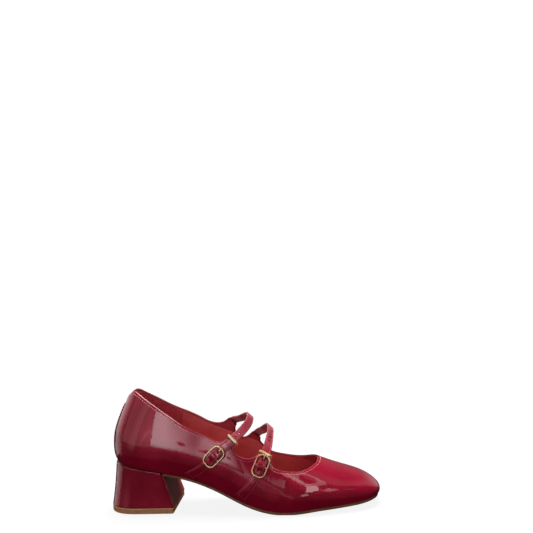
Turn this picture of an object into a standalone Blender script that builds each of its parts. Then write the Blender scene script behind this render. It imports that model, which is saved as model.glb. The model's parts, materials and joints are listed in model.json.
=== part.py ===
"""Women's double-strap Mary Jane pump with a square toe and a flared block heel, right shoe.

All tables and dimensions are in millimetres in the shoemaker's frame: x runs from the back
of the heel to the toe, y from the outer (lateral, negative) to the inner (medial) side, and
z up from the floor.  The meshes are written in metres about the middle of the shoe.
"""
import math
from collections import namedtuple

import bmesh
import bpy
import numpy as np
from mathutils import Vector, geometry

MM = 0.001
ASSEMBLY = "mary_jane_pump"

# Overall sizes.
BACK_X = 5.3                 # back of the seat line
TOE_X = 243.0                # front of the toe
CENTRE_X = 121.1             # middle of the whole shoe
CENTRE_Y = -0.3
GAP = 0.3                    # clearance between neighbouring pieces
UPPER_WALL = 1.8             # leather and lining together
SOLE_THICKNESS = 2.8
SHANK_THICKNESS = 2.2
INSOLE_THICKNESS = 2.0
LIFT_HEIGHT = 5.0

# Last: one row for each section across the shoe.
#   sole     height of the feather edge above the floor
#   lateral  half width at the feather edge on the outer side
#   medial   half width at the feather edge on the inner side
#   top      height of the ridge of the last
#   square   exponent of the section's curve, 2 for an ellipse and more for a squarer one
#   swell    how far the wall stands out past the feather edge
#   belly    height above the feather edge where the wall stands out most
Section = namedtuple("Section", "x sole lateral medial top square swell belly")
LAST = (
    Section(0, 43.6, 27.0, 27.0, 130.0, 2.2, 3.4, 14.0),
    Section(22, 41.2, 27.0, 27.0, 129.0, 2.2, 3.4, 14.0),
    Section(45, 36.9, 26.8, 26.0, 125.0, 2.3, 3.8, 15.0),
    Section(65, 32.6, 25.4, 22.8, 117.0, 2.4, 4.6, 16.0),
    Section(85, 26.3, 25.2, 21.0, 107.0, 2.5, 5.0, 17.0),
    Section(105, 17.9, 28.0, 23.5, 95.0, 2.5, 4.6, 18.0),
    Section(125, 9.4, 33.2, 29.5, 81.5, 2.4, 3.4, 17.0),
    Section(145, 4.0, 36.8, 35.0, 67.5, 2.3, 2.4, 14.0),
    Section(160, 2.8, 38.0, 37.2, 56.5, 2.3, 2.0, 12.0),
    Section(175, 3.7, 37.4, 37.4, 47.0, 2.3, 1.8, 10.0),
    Section(188, 5.1, 35.6, 36.6, 40.6, 2.35, 1.6, 8.5),
    Section(200, 5.9, 33.0, 35.0, 35.7, 2.4, 1.4, 7.5),
    Section(215, 6.8, 28.8, 31.9, 30.6, 2.5, 1.2, 6.0),
    Section(230, 7.9, 23.8, 27.6, 25.6, 2.6, 1.0, 5.0),
    Section(243, 9.6, 19.4, 23.2, 20.2, 2.6, 1.0, 4.5),
)
TOE_START = 203.0            # where the toe begins to close
TOE_LENGTH_POWER = 5.0       # how late the toe closes along its length
TOE_CORNER_POWER = 2.5       # how square the toe's corners are
TOE_CENTRE_Y = 2.5           # how far the ridge drifts inwards by the toe
TOE_DRIFT_X = 150.0
HEEL_START = 34.0            # where the heel begins to close
HEEL_POWER = 2.15
LEAN_REACH = 100.0           # the back's forward lean has faded out this far along
TURN_SCALE = 0.75            # millimetres of sheet for each degree round a section

# Forward lean of the back of the upper by height above the feather edge.
Lean = namedtuple("Lean", "x forward")
BACK_LEAN = (
    Lean(0, 0.0),
    Lean(18, 0.0),
    Lean(26, 0.4),
    Lean(34, 2.1),
    Lean(42, 4.7),
    Lean(50, 7.9),
    Lean(58, 11.5),
    Lean(66, 15.2),
)

LATERAL = -1
MEDIAL = 1


def spline(xs, ys):
    """A natural cubic spline through the points, as a function of numpy arrays."""
    xs = np.asarray(xs, float)
    ys = np.asarray(ys, float)
    count = len(xs)
    steps = np.diff(xs)
    slopes = np.diff(ys) / steps
    matrix = np.eye(count)
    right = np.zeros(count)
    for i in range(1, count - 1):
        matrix[i, i - 1:i + 2] = (steps[i - 1], 2 * (steps[i - 1] + steps[i]), steps[i])
        right[i] = 6 * (slopes[i] - slopes[i - 1])
    bends = np.linalg.solve(matrix, right)

    def value(x):
        x = np.clip(np.asarray(x, float), xs[0], xs[-1])
        i = np.clip(np.searchsorted(xs, x) - 1, 0, count - 2)
        step = steps[i]
        after = x - xs[i]
        before = xs[i + 1] - x
        cubic = (bends[i] * before ** 3 + bends[i + 1] * after ** 3) / (6 * step)
        low = (ys[i] / step - bends[i] * step / 6) * before
        high = (ys[i + 1] / step - bends[i + 1] * step / 6) * after
        return cubic + low + high

    return value


def table_splines(rows):
    """One spline over x for each other column of a table of named rows."""
    xs = [row.x for row in rows]
    return {name: spline(xs, [getattr(row, name) for row in rows])
            for name in rows[0]._fields if name != "x"}


LAST_AT = table_splines(LAST)
LEAN_AT = table_splines(BACK_LEAN)


# ---------------------------------------------------------------- the last

HEEL_SPAN = HEEL_START - BACK_X
TOE_SPAN = TOE_X - TOE_START
HEEL_RUN = HEEL_SPAN * HEEL_POWER
TOE_RUN = TOE_SPAN * TOE_CORNER_POWER
RUN_END = HEEL_RUN + (TOE_START - HEEL_START) + TOE_RUN


def station_of(run):
    """Section position x for a distance along the sheet, slow near the back and the toe."""
    run = np.asarray(run, float)
    heel = np.clip(run / HEEL_RUN, 0, 1)
    toe = np.clip((run - HEEL_RUN - TOE_START + HEEL_START) / TOE_RUN, 0, 1)
    middle = np.clip(run - HEEL_RUN, 0, TOE_START - HEEL_START)
    return (BACK_X + HEEL_SPAN * heel ** HEEL_POWER + middle
            + TOE_SPAN * (1 - (1 - toe) ** TOE_CORNER_POWER))


def run_of(station):
    """The inverse of station_of."""
    station = np.asarray(station, float)
    heel = np.clip((station - BACK_X) / HEEL_SPAN, 0, 1)
    toe = np.clip((station - TOE_START) / TOE_SPAN, 0, 1)
    middle = np.clip(station - HEEL_START, 0, TOE_START - HEEL_START)
    return (HEEL_RUN * heel ** (1 / HEEL_POWER) + middle
            + TOE_RUN * (1 - (1 - toe) ** (1 / TOE_CORNER_POWER)))


def closing(station):
    """Factors on the width and on the height of a section, 1 except near the two ends."""
    heel = np.clip((HEEL_START - station) / HEEL_SPAN, 0, 1)
    toe = np.clip((station - TOE_START) / TOE_SPAN, 0, 1)
    heel_left = np.clip(1 - heel ** HEEL_POWER, 0, 1)
    toe_left = np.clip(1 - toe ** TOE_LENGTH_POWER, 0, 1)
    width = heel_left ** (1 / HEEL_POWER) * toe_left ** (1 / TOE_CORNER_POWER)
    return width, toe_left ** (1 / TOE_CORNER_POWER)


def ridge_y(station):
    """Sideways place of the ridge, which drifts inwards towards the toe."""
    share = np.clip((station - TOE_DRIFT_X) / (TOE_X - TOE_DRIFT_X), 0, 1)
    return TOE_CENTRE_Y * share * share * (3 - 2 * share)


def last_at(station, turn):
    """Point of the last at a section and a turn: -90 outer edge, 0 ridge, 90 inner edge."""
    station = np.asarray(station, float)
    turn = np.radians(np.asarray(turn, float))
    power = 2 / LAST_AT["square"](station)
    width, height = closing(station)
    across = np.abs(np.sin(turn)) ** power
    up = np.clip(np.abs(np.cos(turn)), 0, 1) ** power
    sole = LAST_AT["sole"](station)
    rise = (LAST_AT["top"](station) - sole) * height * up
    side = np.sign(turn)
    half = np.where(side < 0, LAST_AT["lateral"](station), LAST_AT["medial"](station))
    belly = LAST_AT["belly"](station)
    puff = LAST_AT["swell"](station) * rise / belly * np.exp(1 - rise / belly)
    centre = ridge_y(station)
    y = centre + (side * half - centre) * width * across * (1 + puff / half)
    heel_out = np.minimum(station - HEEL_START, 0) / HEEL_SPAN
    toe_out = np.maximum(station - TOE_START, 0) / TOE_SPAN
    fade = 0.5 + 0.5 * np.cos(np.pi * np.clip((station - BACK_X) / LEAN_REACH, 0, 1))
    lean = fade * LEAN_AT["forward"](rise)
    x = station + puff * (heel_out + toe_out) + lean
    return np.stack([x, y, sole + rise], axis=-1)


def turn_at_height(station, side, z):
    """Turn at which a section reaches height z."""
    sole = LAST_AT["sole"](station)
    height = (LAST_AT["top"](station) - sole) * closing(station)[1]
    share = np.clip((z - sole) / height, 0, 1)
    return side * np.degrees(np.arccos(share ** (LAST_AT["square"](station) / 2)))


def from_side(side, x, z):
    """Section and turn of the point that has this x and z on one side of the last."""
    station = float(x)
    for _ in range(60):
        turn = turn_at_height(station, side, z)
        station = float(np.clip(station + 0.7 * (x - last_at(station, turn)[0]), BACK_X, TOE_X))
    return station, float(turn_at_height(station, side, z))


def from_above(x, y):
    """Section and turn of the upper point that has this x and y in plan."""
    side = LATERAL if y < ridge_y(x) else MEDIAL
    low = 0.0
    high = 90.0
    for _ in range(40):
        middle = (low + high) / 2
        if abs(last_at(x, side * middle)[1] - ridge_y(x)) < abs(y - ridge_y(x)):
            low = middle
        else:
            high = middle
    return float(x), side * low


def normal_at(station, turn):
    """Outward unit normal of the last."""
    step = 0.05
    ahead = last_at(station + step, turn) - last_at(station - step, turn)
    round_up = last_at(station, turn + step) - last_at(station, turn - step)
    normal = np.cross(ahead, round_up)
    return normal / np.linalg.norm(normal)


# ---------------------------------------------------------------- sheets

# Topline of the upper seen from each side, from the back to the throat.  A corner starts
# where a row has corner set; the stretches between corners are smooth.
#   x, z     place of the edge
Edge = namedtuple("Edge", "x z corner", defaults=(False,))
TOPLINE = {
    LATERAL: (
        Edge(15.8, 101.0),
        Edge(16.6, 101.8),
        Edge(19.0, 104.4),
        Edge(22.4, 106.9),
        Edge(25.8, 107.7),
        Edge(29.6, 106.0),
        Edge(35.4, 102.5),
        Edge(41.5, 98.4),
        Edge(50.6, 91.7),
        Edge(59.5, 85.4),
        Edge(68.4, 79.1),
        Edge(76.9, 74.4),
        Edge(85.8, 70.3),
        Edge(94.5, 66.3),
        Edge(101.0, 63.6),
        Edge(106.4, 63.9),
        Edge(110.8, 66.6),
        Edge(113.7, 69.5, True),
        Edge(119.3, 63.4, True),
        Edge(114.7, 59.2, True),
        Edge(115.2, 55.4),
        Edge(117.6, 52.7),
        Edge(121.5, 50.5),
        Edge(126.8, 49.0),
        Edge(131.6, 49.3),
        Edge(135.7, 50.8),
        Edge(138.9, 52.9),
        Edge(141.0, 55.2, True),
        Edge(147.7, 51.6, True),
        Edge(146.9, 47.5),
        Edge(148.4, 43.6),
        Edge(151.6, 40.0),
    ),
    MEDIAL: (
        Edge(15.8, 101.0),
        Edge(16.6, 101.9),
        Edge(18.9, 104.7),
        Edge(22.0, 106.4),
        Edge(25.0, 104.9),
        Edge(28.2, 102.2),
        Edge(32.8, 99.0),
        Edge(40.7, 94.2),
        Edge(50.1, 89.0),
        Edge(59.8, 84.8),
        Edge(69.1, 81.3),
        Edge(79.0, 76.6),
        Edge(85.0, 73.2),
        Edge(90.9, 70.9),
        Edge(96.0, 70.2),
        Edge(101.4, 71.3),
        Edge(107.0, 75.0, True),
        Edge(112.8, 68.6, True),
        Edge(111.2, 65.4),
        Edge(111.4, 60.6),
        Edge(114.2, 56.4),
        Edge(118.4, 54.8),
        Edge(122.6, 56.0),
        Edge(128.0, 60.4, True),
        Edge(134.2, 54.0, True),
        Edge(133.9, 50.4),
        Edge(137.6, 45.2),
        Edge(143.4, 39.8),
    ),
}
# Throat of the vamp in plan, half of a superellipse.
THROAT_X = 150.0
THROAT_LENGTH = 39.0
THROAT_HALF_WIDTH = 32.5
THROAT_POWER = 2.6
THROAT_ANGLES = {LATERAL: (30, 45, 60, 75, 90), MEDIAL: (20, 40, 60, 75, 90)}
BORDER_CLEAR = 0.45          # free strip inside a sheet's border, in mesh spacings


def smooth_path(points, spacing):
    """Centripetal Catmull-Rom curve through the points, with a point about every spacing."""
    points = [np.asarray(point, float) for point in points]
    if len(points) < 3:
        points = [points[0], (points[0] + points[-1]) / 2, points[-1]]
    padded = [2 * points[0] - points[1]] + points + [2 * points[-1] - points[-2]]
    path = [points[0]]
    for a, b, c, d in zip(padded, padded[1:], padded[2:], padded[3:]):
        knots = [0.0]
        for start, end in ((a, b), (b, c), (c, d)):
            knots.append(knots[-1] + math.sqrt(np.linalg.norm(end - start)))
        count = max(1, int(round(np.linalg.norm(c - b) / spacing)))
        for i in range(1, count + 1):
            t = knots[1] + (knots[2] - knots[1]) * i / count
            near = [lerp_at(a, b, knots[0], knots[1], t), lerp_at(b, c, knots[1], knots[2], t),
                    lerp_at(c, d, knots[2], knots[3], t)]
            wide = [lerp_at(near[0], near[1], knots[0], knots[2], t),
                    lerp_at(near[1], near[2], knots[1], knots[3], t)]
            path.append(lerp_at(wide[0], wide[1], knots[1], knots[2], t))
    return path


def lerp_at(a, b, start, end, t):
    """The value at t of the straight line that is a at start and b at end."""
    return (a * (end - t) + b * (t - start)) / (end - start)


def flat(station, turn):
    """Place on the flattened sheet of the last, in millimetres."""
    return np.array((float(run_of(station)), turn * TURN_SCALE))


def unflat(point):
    """Point of the last for a place on the flattened sheet."""
    return last_at(station_of(point[0]), point[1] / TURN_SCALE)


def topline(side, spacing):
    """Edge of the opening on the flattened sheet, from the back to the middle of the throat."""
    edge = []
    stretch = []
    for row in TOPLINE[side]:
        stretch.append(flat(*from_side(side, row.x, row.z)))
        if row.corner:
            edge += smooth_path(stretch, spacing)[:-1]
            stretch = stretch[-1:]
    for angle in THROAT_ANGLES[side]:
        along = math.sin(math.radians(angle)) ** (2 / THROAT_POWER)
        across = abs(math.cos(math.radians(angle))) ** (2 / THROAT_POWER)
        x = THROAT_X + THROAT_LENGTH * along
        y = ridge_y(x) + side * THROAT_HALF_WIDTH * across
        stretch.append(flat(*from_above(x, y)))
    return edge + smooth_path(stretch, spacing)


def inside(outline, point):
    """Whether a point is inside a closed outline."""
    x, y = point
    odd = False
    for (x0, y0), (x1, y1) in zip(outline, outline[1:] + outline[:1]):
        if (y0 > y) != (y1 > y) and x < (x1 - x0) * (y - y0) / (y1 - y0) + x0:
            odd = not odd
    return odd


def upper_sheet(spacing):
    """Vertices and faces of the upper's outer surface, trimmed to the topline."""
    bottom = 90 * TURN_SCALE
    count = int(RUN_END / spacing)
    runs = [RUN_END * i / count for i in range(count + 1)]
    ends = int(2 * bottom / spacing)
    outline = [np.array((run, -bottom)) for run in runs]
    outline += [np.array((RUN_END, -bottom + 2 * bottom * i / ends)) for i in range(1, ends)]
    outline += [np.array((run, bottom)) for run in reversed(runs)]
    medial = topline(MEDIAL, spacing / 2)
    lateral = topline(LATERAL, spacing / 2)
    rise = int((bottom - abs(medial[0][1])) / spacing)
    outline += [lerp_at(outline[-1], medial[0], 0, rise, i) for i in range(1, rise)]
    outline += medial + lateral[-2::-1]
    outline += [lerp_at(lateral[0], outline[0], 0, rise, i) for i in range(1, rise)]
    places = [Vector(place) for place in outline]
    edges = [(i, (i + 1) % len(places)) for i in range(len(places))]
    loop = [tuple(place) for place in outline]
    border = np.array(loop)
    for run in runs[1:-1]:
        for row in range(1, ends):
            place = (run, -bottom + 2 * bottom * row / ends)
            clear = np.min(np.hypot(*(border - place).T)) > BORDER_CLEAR * spacing
            if clear and inside(loop, place):
                places.append(Vector(place))
    corners, _, faces, *_ = geometry.delaunay_2d_cdt(places, edges, [], 1, 1e-5)
    return [unflat(corner) for corner in corners], faces


# ---------------------------------------------------------------- Blender helpers

def clear_scene():
    """Remove every object of the open scene."""
    for item in list(bpy.data.objects):
        bpy.data.objects.remove(item, do_unlink=True)


def collection(name):
    """A new collection in the scene."""
    group = bpy.data.collections.new(name)
    bpy.context.scene.collection.children.link(group)
    return group


def material(name, colour, roughness, metallic=0.0, coat=0.0):
    """A Principled material."""
    made = bpy.data.materials.new(name)
    made.use_nodes = True
    shader = made.node_tree.nodes["Principled BSDF"]
    shader.inputs["Base Color"].default_value = (*colour, 1.0)
    shader.inputs["Roughness"].default_value = roughness
    shader.inputs["Metallic"].default_value = metallic
    shader.inputs["Coat Weight"].default_value = coat
    return made


def in_metres(point):
    """A point of the shoemaker's frame in metres about the middle of the shoe."""
    x, y, z = point
    return Vector(((x - CENTRE_X) * MM, (y - CENTRE_Y) * MM, z * MM))


def mesh_object(name, points, faces, finish, group, smooth=math.radians(40)):
    """An object from points in millimetres; repeated points become one."""
    mesh = bpy.data.meshes.new(name)
    built = bmesh.new()
    corners = [built.verts.new(in_metres(point)) for point in points]
    for face in faces:
        built.faces.new([corners[i] for i in face])
    bmesh.ops.remove_doubles(built, verts=built.verts, dist=0.02 * MM)
    bmesh.ops.dissolve_degenerate(built, edges=built.edges, dist=0.002 * MM)
    bmesh.ops.recalc_face_normals(built, faces=built.faces)
    built.to_mesh(mesh)
    built.free()
    mesh.materials.append(finish)
    mesh.shade_smooth()
    mesh.set_sharp_from_angle(angle=smooth)
    made = bpy.data.objects.new(name, mesh)
    group.objects.link(made)
    return made


def loft(rings, close_ends=True):
    """Points and faces of a skin over rings with the same number of points."""
    size = len(rings[0])
    points = [point for ring in rings for point in ring]
    faces = []
    for row in range(len(rings) - 1):
        for i in range(size):
            j = (i + 1) % size
            a = row * size
            b = a + size
            faces.append((a + i, a + j, b + j, b + i))
    if close_ends:
        last = (len(rings) - 1) * size
        faces.append(tuple(range(size)))
        faces.append(tuple(last + i for i in reversed(range(size))))
    return points, faces


def wire(name, route, thickness, finish, group, closed=False):
    """A round wire along points in millimetres, as a closed mesh."""
    curve = bpy.data.curves.new(name, "CURVE")
    curve.dimensions = "3D"
    curve.bevel_depth = thickness / 2 * MM
    curve.bevel_resolution = 2
    curve.use_fill_caps = True
    line = curve.splines.new("POLY")
    line.points.add(len(route) - 1)
    for spot, point in zip(line.points, route):
        spot.co = (*in_metres(point), 1.0)
    line.use_cyclic_u = closed
    bent = bpy.data.objects.new(name + "_curve", curve)
    group.objects.link(bent)
    bpy.context.view_layer.update()
    evaluated = bent.evaluated_get(bpy.context.evaluated_depsgraph_get())
    mesh = bpy.data.meshes.new_from_object(evaluated)
    placed = bent.matrix_world.copy()
    bpy.data.objects.remove(bent, do_unlink=True)
    built = bmesh.new()
    built.from_mesh(mesh)
    bmesh.ops.remove_doubles(built, verts=built.verts, dist=0.001 * MM)
    built.to_mesh(mesh)
    built.free()
    mesh.materials.clear()
    mesh.materials.append(finish)
    mesh.shade_smooth()
    mesh.set_sharp_from_angle(angle=math.radians(50))
    made = bpy.data.objects.new(name, mesh)
    made.matrix_world = placed
    group.objects.link(made)
    return made


def boolean(target, tool, operation):
    """Add an exact Boolean to an object."""
    step = target.modifiers.new(operation.lower(), "BOOLEAN")
    step.operation = operation
    step.object = tool


def as_cutter(tool):
    """Mark an object as a guide that is not part of the shoe."""
    tool.hide_render = True
    tool.display_type = "WIRE"


# ---------------------------------------------------------------- sole, insole and heel

SOLE_START_X = 50.0          # just clear of the heel breast
SHANK_X = 70.0               # the outsole thickens from here
BALL_X = 130.0               # to here
SOLE_INSET = 1.0             # outsole edge inside the feather edge
SOLE_BEVEL = 0.8
INSOLE_INSET = 2.5
SOLE_STATIONS = 44
HEEL_TOP_X = 48.9            # breast at the seat
HEEL_BOTTOM_X = 58.9         # breast at the top lift
HEEL_BACK_X = -1.5           # back of the top lift
HEEL_HALF_WIDTH = 28.2
HEEL_SEAT_BACK_X = 2.9       # back of the heel at the seat, a ledge past the upper
SEAT_HALF_WIDTH = 26.3
HEEL_ROUND_X = 27.0          # where the plan of the top lift starts to round
HEEL_ROUND_POWER = 2.5
HEEL_HOLLOW = 0.5            # how far the sides curve in between seat and top lift
HEEL_LEVELS = 4
HEEL_SIDE_POINTS = 14


def feather_y(station, side, inset):
    """Sideways place of the feather edge, moved inwards."""
    y = float(last_at(station, side * 90.0)[1])
    return y - side * min(inset, abs(y - float(ridge_y(station))))


def edge_stations(start, count, inset):
    """Stations from start to the toe, and the x that each gets when the edge moves inwards."""
    runs = np.linspace(float(run_of(start)), RUN_END, count)
    stations = station_of(runs)
    if start > HEEL_START:
        shrink = (TOE_X - inset - start) / (TOE_X - start)
        return [(s, start + (s - start) * shrink) for s in stations]
    middle = (BACK_X + TOE_X) / 2
    shrink = 1 - inset / ((TOE_X - BACK_X) / 2)
    return [(s, middle + (s - middle) * shrink) for s in stations]


def sole_line(x):
    """Height of the feather edge."""
    return float(LAST_AT["sole"](x))


def sole_bottom(x):
    """Underside of the outsole, flat on the floor under the ball."""
    share = min(max((x - SHANK_X) / (BALL_X - SHANK_X), 0.0), 1.0)
    thickness = SHANK_THICKNESS + (SOLE_THICKNESS - SHANK_THICKNESS) * share
    return max(0.0, sole_line(x) - GAP - thickness)


def add_outsole(finish, group):
    """Thin sole from the heel breast to the toe."""
    rings = []
    for station, x in edge_stations(SOLE_START_X, SOLE_STATIONS, SOLE_INSET):
        top = sole_line(x) - GAP
        low = sole_bottom(x)
        outer = feather_y(station, LATERAL, SOLE_INSET)
        inner = feather_y(station, MEDIAL, SOLE_INSET)
        bevel = min(SOLE_BEVEL, (inner - outer) / 3)
        rings.append([(x, outer, top), (x, outer, low + SOLE_BEVEL), (x, outer + bevel, low),
                      (x, inner - bevel, low), (x, inner, low + SOLE_BEVEL), (x, inner, top)])
    return mesh_object("outsole", *loft(rings), finish, group)


def add_insole(finish, group):
    """Board inside the upper."""
    rings = []
    for station, x in edge_stations(BACK_X, SOLE_STATIONS, INSOLE_INSET):
        low = sole_line(x)
        outer = feather_y(station, LATERAL, INSOLE_INSET)
        inner = feather_y(station, MEDIAL, INSOLE_INSET)
        high = low + INSOLE_THICKNESS
        rings.append([(x, outer, high), (x, outer, low), (x, inner, low), (x, inner, high)])
    return mesh_object("insole", *loft(rings), finish, group)


def heel_outline(back, front, half_width, round_x, power):
    """Half plan of the heel from the breast corner round to the back, as x and width."""
    outline = [(front, half_width)]
    for i in range(HEEL_SIDE_POINTS + 1):
        angle = math.pi / 2 * i / HEEL_SIDE_POINTS
        x = round_x - (round_x - back) * math.sin(angle) ** (2 / power)
        outline.append((x, half_width * max(math.cos(angle), 0.0) ** (2 / power)))
    return outline


def heel_ring(share):
    """Ring round the heel at a share of the way up, 0 at the top lift and 1 at the seat."""
    hollow = HEEL_HOLLOW * 4 * share * (1 - share)
    back = HEEL_BACK_X + (HEEL_SEAT_BACK_X - HEEL_BACK_X) * share + hollow
    front = HEEL_BOTTOM_X + (HEEL_TOP_X - HEEL_BOTTOM_X) * share
    half_width = HEEL_HALF_WIDTH + (SEAT_HALF_WIDTH - HEEL_HALF_WIDTH) * share - hollow
    round_x = HEEL_ROUND_X + (HEEL_START - HEEL_ROUND_X) * share
    power = HEEL_ROUND_POWER + (HEEL_POWER - HEEL_ROUND_POWER) * share
    half = heel_outline(back, front, half_width, round_x, power)
    low = LIFT_HEIGHT + GAP
    ring = [(x, -width) for x, width in half] + [(x, width) for x, width in half[-2::-1]]
    return [(x, y, low + (sole_line(x) - GAP - low) * share) for x, y in ring]


def ladder_caps(size, first, last):
    """Faces across a ring whose two halves mirror each other, at both ends of a loft."""
    faces = []
    for i in range(size // 2):
        a, b = i, i + 1
        c, d = size - 2 - i, size - 1 - i
        if b == c:
            faces.append((first + a, first + b, first + d))
            faces.append((last + d, last + b, last + a))
        else:
            faces.append((first + a, first + b, first + c, first + d))
            faces.append((last + d, last + c, last + b, last + a))
    return faces


def add_heel(finish, group):
    """Flared block heel with a flat breast."""
    rings = [heel_ring(level / HEEL_LEVELS) for level in range(HEEL_LEVELS + 1)]
    points, faces = loft(rings, close_ends=False)
    size = len(rings[0])
    faces += ladder_caps(size, 0, size * HEEL_LEVELS)
    return mesh_object("heel", points, faces, finish, group)


def add_top_lift(finish, group):
    """Wear layer under the heel."""
    half = heel_outline(HEEL_BACK_X, HEEL_BOTTOM_X, HEEL_HALF_WIDTH, HEEL_ROUND_X,
                        HEEL_ROUND_POWER)
    ring = [(x, -width) for x, width in half] + [(x, width) for x, width in half[-2::-1]]
    rings = [[(x, y, z) for x, y in ring] for z in (0.0, LIFT_HEIGHT)]
    points, faces = loft(rings, close_ends=False)
    faces += ladder_caps(len(ring), 0, len(ring))
    return mesh_object("top_lift", points, faces, finish, group)


# ---------------------------------------------------------------- upper

UPPER_SPACING = 5.0


def add_upper(finish, group):
    """Hollow upper: the trimmed outer surface with Solidify inwards."""
    points, faces = upper_sheet(UPPER_SPACING)
    upper = mesh_object("upper", points, faces, finish, group)
    shell = upper.modifiers.new("wall", "SOLIDIFY")
    shell.thickness = UPPER_WALL * MM
    shell.offset = -1.0
    shell.use_even_offset = True
    return upper


# ---------------------------------------------------------------- straps and chapes

STRAP_WIDTH = 8.0
STRAP_THICKNESS = 1.6
CHAPE_WIDTH = 7.4            # at the buckle
CHAPE_END_WIDTH = {"rear": 8.4, "front": 9.2}
CHAPE_THICKNESS = 1.0
RIBBON_SPACING = 2.6
TIP_ANGLES = (25, 45, 62, 76)

# Route of a ribbon's middle.  On the upper a knot is given by side, x and z, and lift is the
# space under the ribbon; between the tabs (side 0) it is a free point with the tilt in
# degrees of the ribbon's face towards the toe.
Knot = namedtuple("Knot", "side x y z lift tilt")


def on_upper(side, x, z, lift):
    """A knot on the upper."""
    return Knot(side, x, None, z, lift, None)


def free(x, y, z, tilt):
    """A knot between the tabs."""
    return Knot(0, x, y, z, None, tilt)


STRAPS = {
    "rear": (
        on_upper(MEDIAL, 101.0, 62.6, 0.4),
        on_upper(MEDIAL, 105.6, 67.2, 0.4),
        on_upper(MEDIAL, 109.9, 71.3, 0.55),
        free(118.8, 12.0, 75.9, 46.0),
        free(128.0, 1.0, 80.8, 46.0),
        free(128.0, -8.5, 76.8, 50.0),
        free(123.6, -18.0, 72.0, 46.0),
        on_upper(LATERAL, 116.8, 66.2, 0.45),
        on_upper(LATERAL, 110.8, 61.5, 0.4),
        on_upper(LATERAL, 105.2, 57.6, 0.4),
    ),
    "front": (
        on_upper(MEDIAL, 125.6, 50.0, 0.4),
        on_upper(MEDIAL, 128.4, 53.8, 0.5),
        on_upper(MEDIAL, 131.0, 57.0, 0.75),
        free(138.6, 12.0, 64.4, 46.0),
        free(145.9, 1.5, 70.0, 46.0),
        free(147.0, -8.5, 65.8, 50.0),
        on_upper(LATERAL, 143.9, 52.8, 0.6),
        on_upper(LATERAL, 143.0, 50.4, 0.4),
    ),
}
# The strap through its buckle: distance from the centre bar towards the keeper, and space
# under the strap.
Pass = namedtuple("Pass", "along lift")
BUCKLE_PASS = (
    Pass(5.6, 1.5),
    Pass(2.4, 2.9),
    Pass(0.0, 3.1),
    Pass(-2.4, 2.5),
    Pass(-3.8, 1.85),
    Pass(-4.2, 1.82),
)
# Route of a chape down the lateral side, from just below the centre bar.
Spot = namedtuple("Spot", "x z")
CHAPES = {
    "rear": (
        Spot(96.9, 50.0),
        Spot(91.2, 45.0),
        Spot(84.0, 39.4),
        Spot(74.0, 34.0),
    ),
    "front": (
        Spot(138.9, 41.2),
        Spot(135.6, 34.8),
        Spot(130.4, 26.6),
        Spot(120.2, 15.2),
    ),
}


def upper_frame(side, x, z, height):
    """Point at a height above the upper, and the normal there."""
    station, turn = from_side(side, x, z)
    normal = normal_at(station, turn)
    return last_at(station, turn) + normal * height, normal


def knot_rows(knots, thickness):
    """Middle and normal of a ribbon at its knots, six numbers a row."""
    rows = []
    for knot in knots:
        if knot.side:
            middle, normal = upper_frame(knot.side, knot.x, knot.z, knot.lift + thickness / 2)
        else:
            middle = np.array((knot.x, knot.y, knot.z))
            tilt = math.radians(knot.tilt)
            normal = np.array((math.sin(tilt), 0.0, math.cos(tilt)))
        rows.append(np.concatenate((middle, normal)))
    return rows


def strap_rows(place):
    """Rows of a strap from the inner tab to its tip in the buckle."""
    origin, along, _, normal = fitting_frame(BUCKLES[place])
    rows = knot_rows(STRAPS[place], STRAP_THICKNESS)
    for spot in BUCKLE_PASS:
        height = spot.lift + STRAP_THICKNESS / 2
        rows.append(np.concatenate((origin + along * spot.along + normal * height, normal)))
    return smooth_path(rows, RIBBON_SPACING)


def chape_rows(place):
    """Rows of a chape from under the centre bar down to the feather edge."""
    rows = []
    for x, z in smooth_path(CHAPES[place], RIBBON_SPACING):
        middle, normal = upper_frame(LATERAL, x, z, GAP + CHAPE_THICKNESS / 2)
        rows.append(np.concatenate((middle, normal)))
    return rows


def ribbon_frames(path):
    """Middle, normal and width direction along a ribbon."""
    frames = []
    for i, row in enumerate(path):
        ahead = path[min(i + 1, len(path) - 1)][:3] - path[max(i - 1, 0)][:3]
        ahead = ahead / np.linalg.norm(ahead)
        normal = row[3:] - ahead * np.dot(row[3:], ahead)
        normal = normal / np.linalg.norm(normal)
        frames.append((row[:3], normal, np.cross(ahead, normal)))
    return frames


def tip_rings(frame, width):
    """Middles, directions and half widths of a half-round tip beyond a frame."""
    middle, normal, across = frame
    ahead = np.cross(normal, across)
    tip = []
    for angle in TIP_ANGLES:
        turn = math.radians(angle)
        reach = ahead * width / 2 * math.sin(turn)
        tip.append((middle + reach, normal, across, width / 2 * math.cos(turn)))
    return tip


def ribbon(name, rows, width, end_width, thickness, round_tip, finish, group):
    """A flat strap along its rows; the last end is half round if round_tip is set."""
    frames = ribbon_frames(rows)
    halves = np.linspace(width / 2, end_width / 2, len(frames))
    stations = [(*frame, half) for frame, half in zip(frames, halves)]
    if round_tip:
        stations += tip_rings(frames[-1], end_width)
    rings = []
    for middle, normal, across, half in stations:
        up = normal * thickness / 2
        rings.append([middle - across * half - up, middle + across * half - up,
                      middle + across * half + up, middle - across * half + up])
    return mesh_object(name, *loft(rings), finish, group)


# ---------------------------------------------------------------- buckles, prongs and keepers

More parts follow.
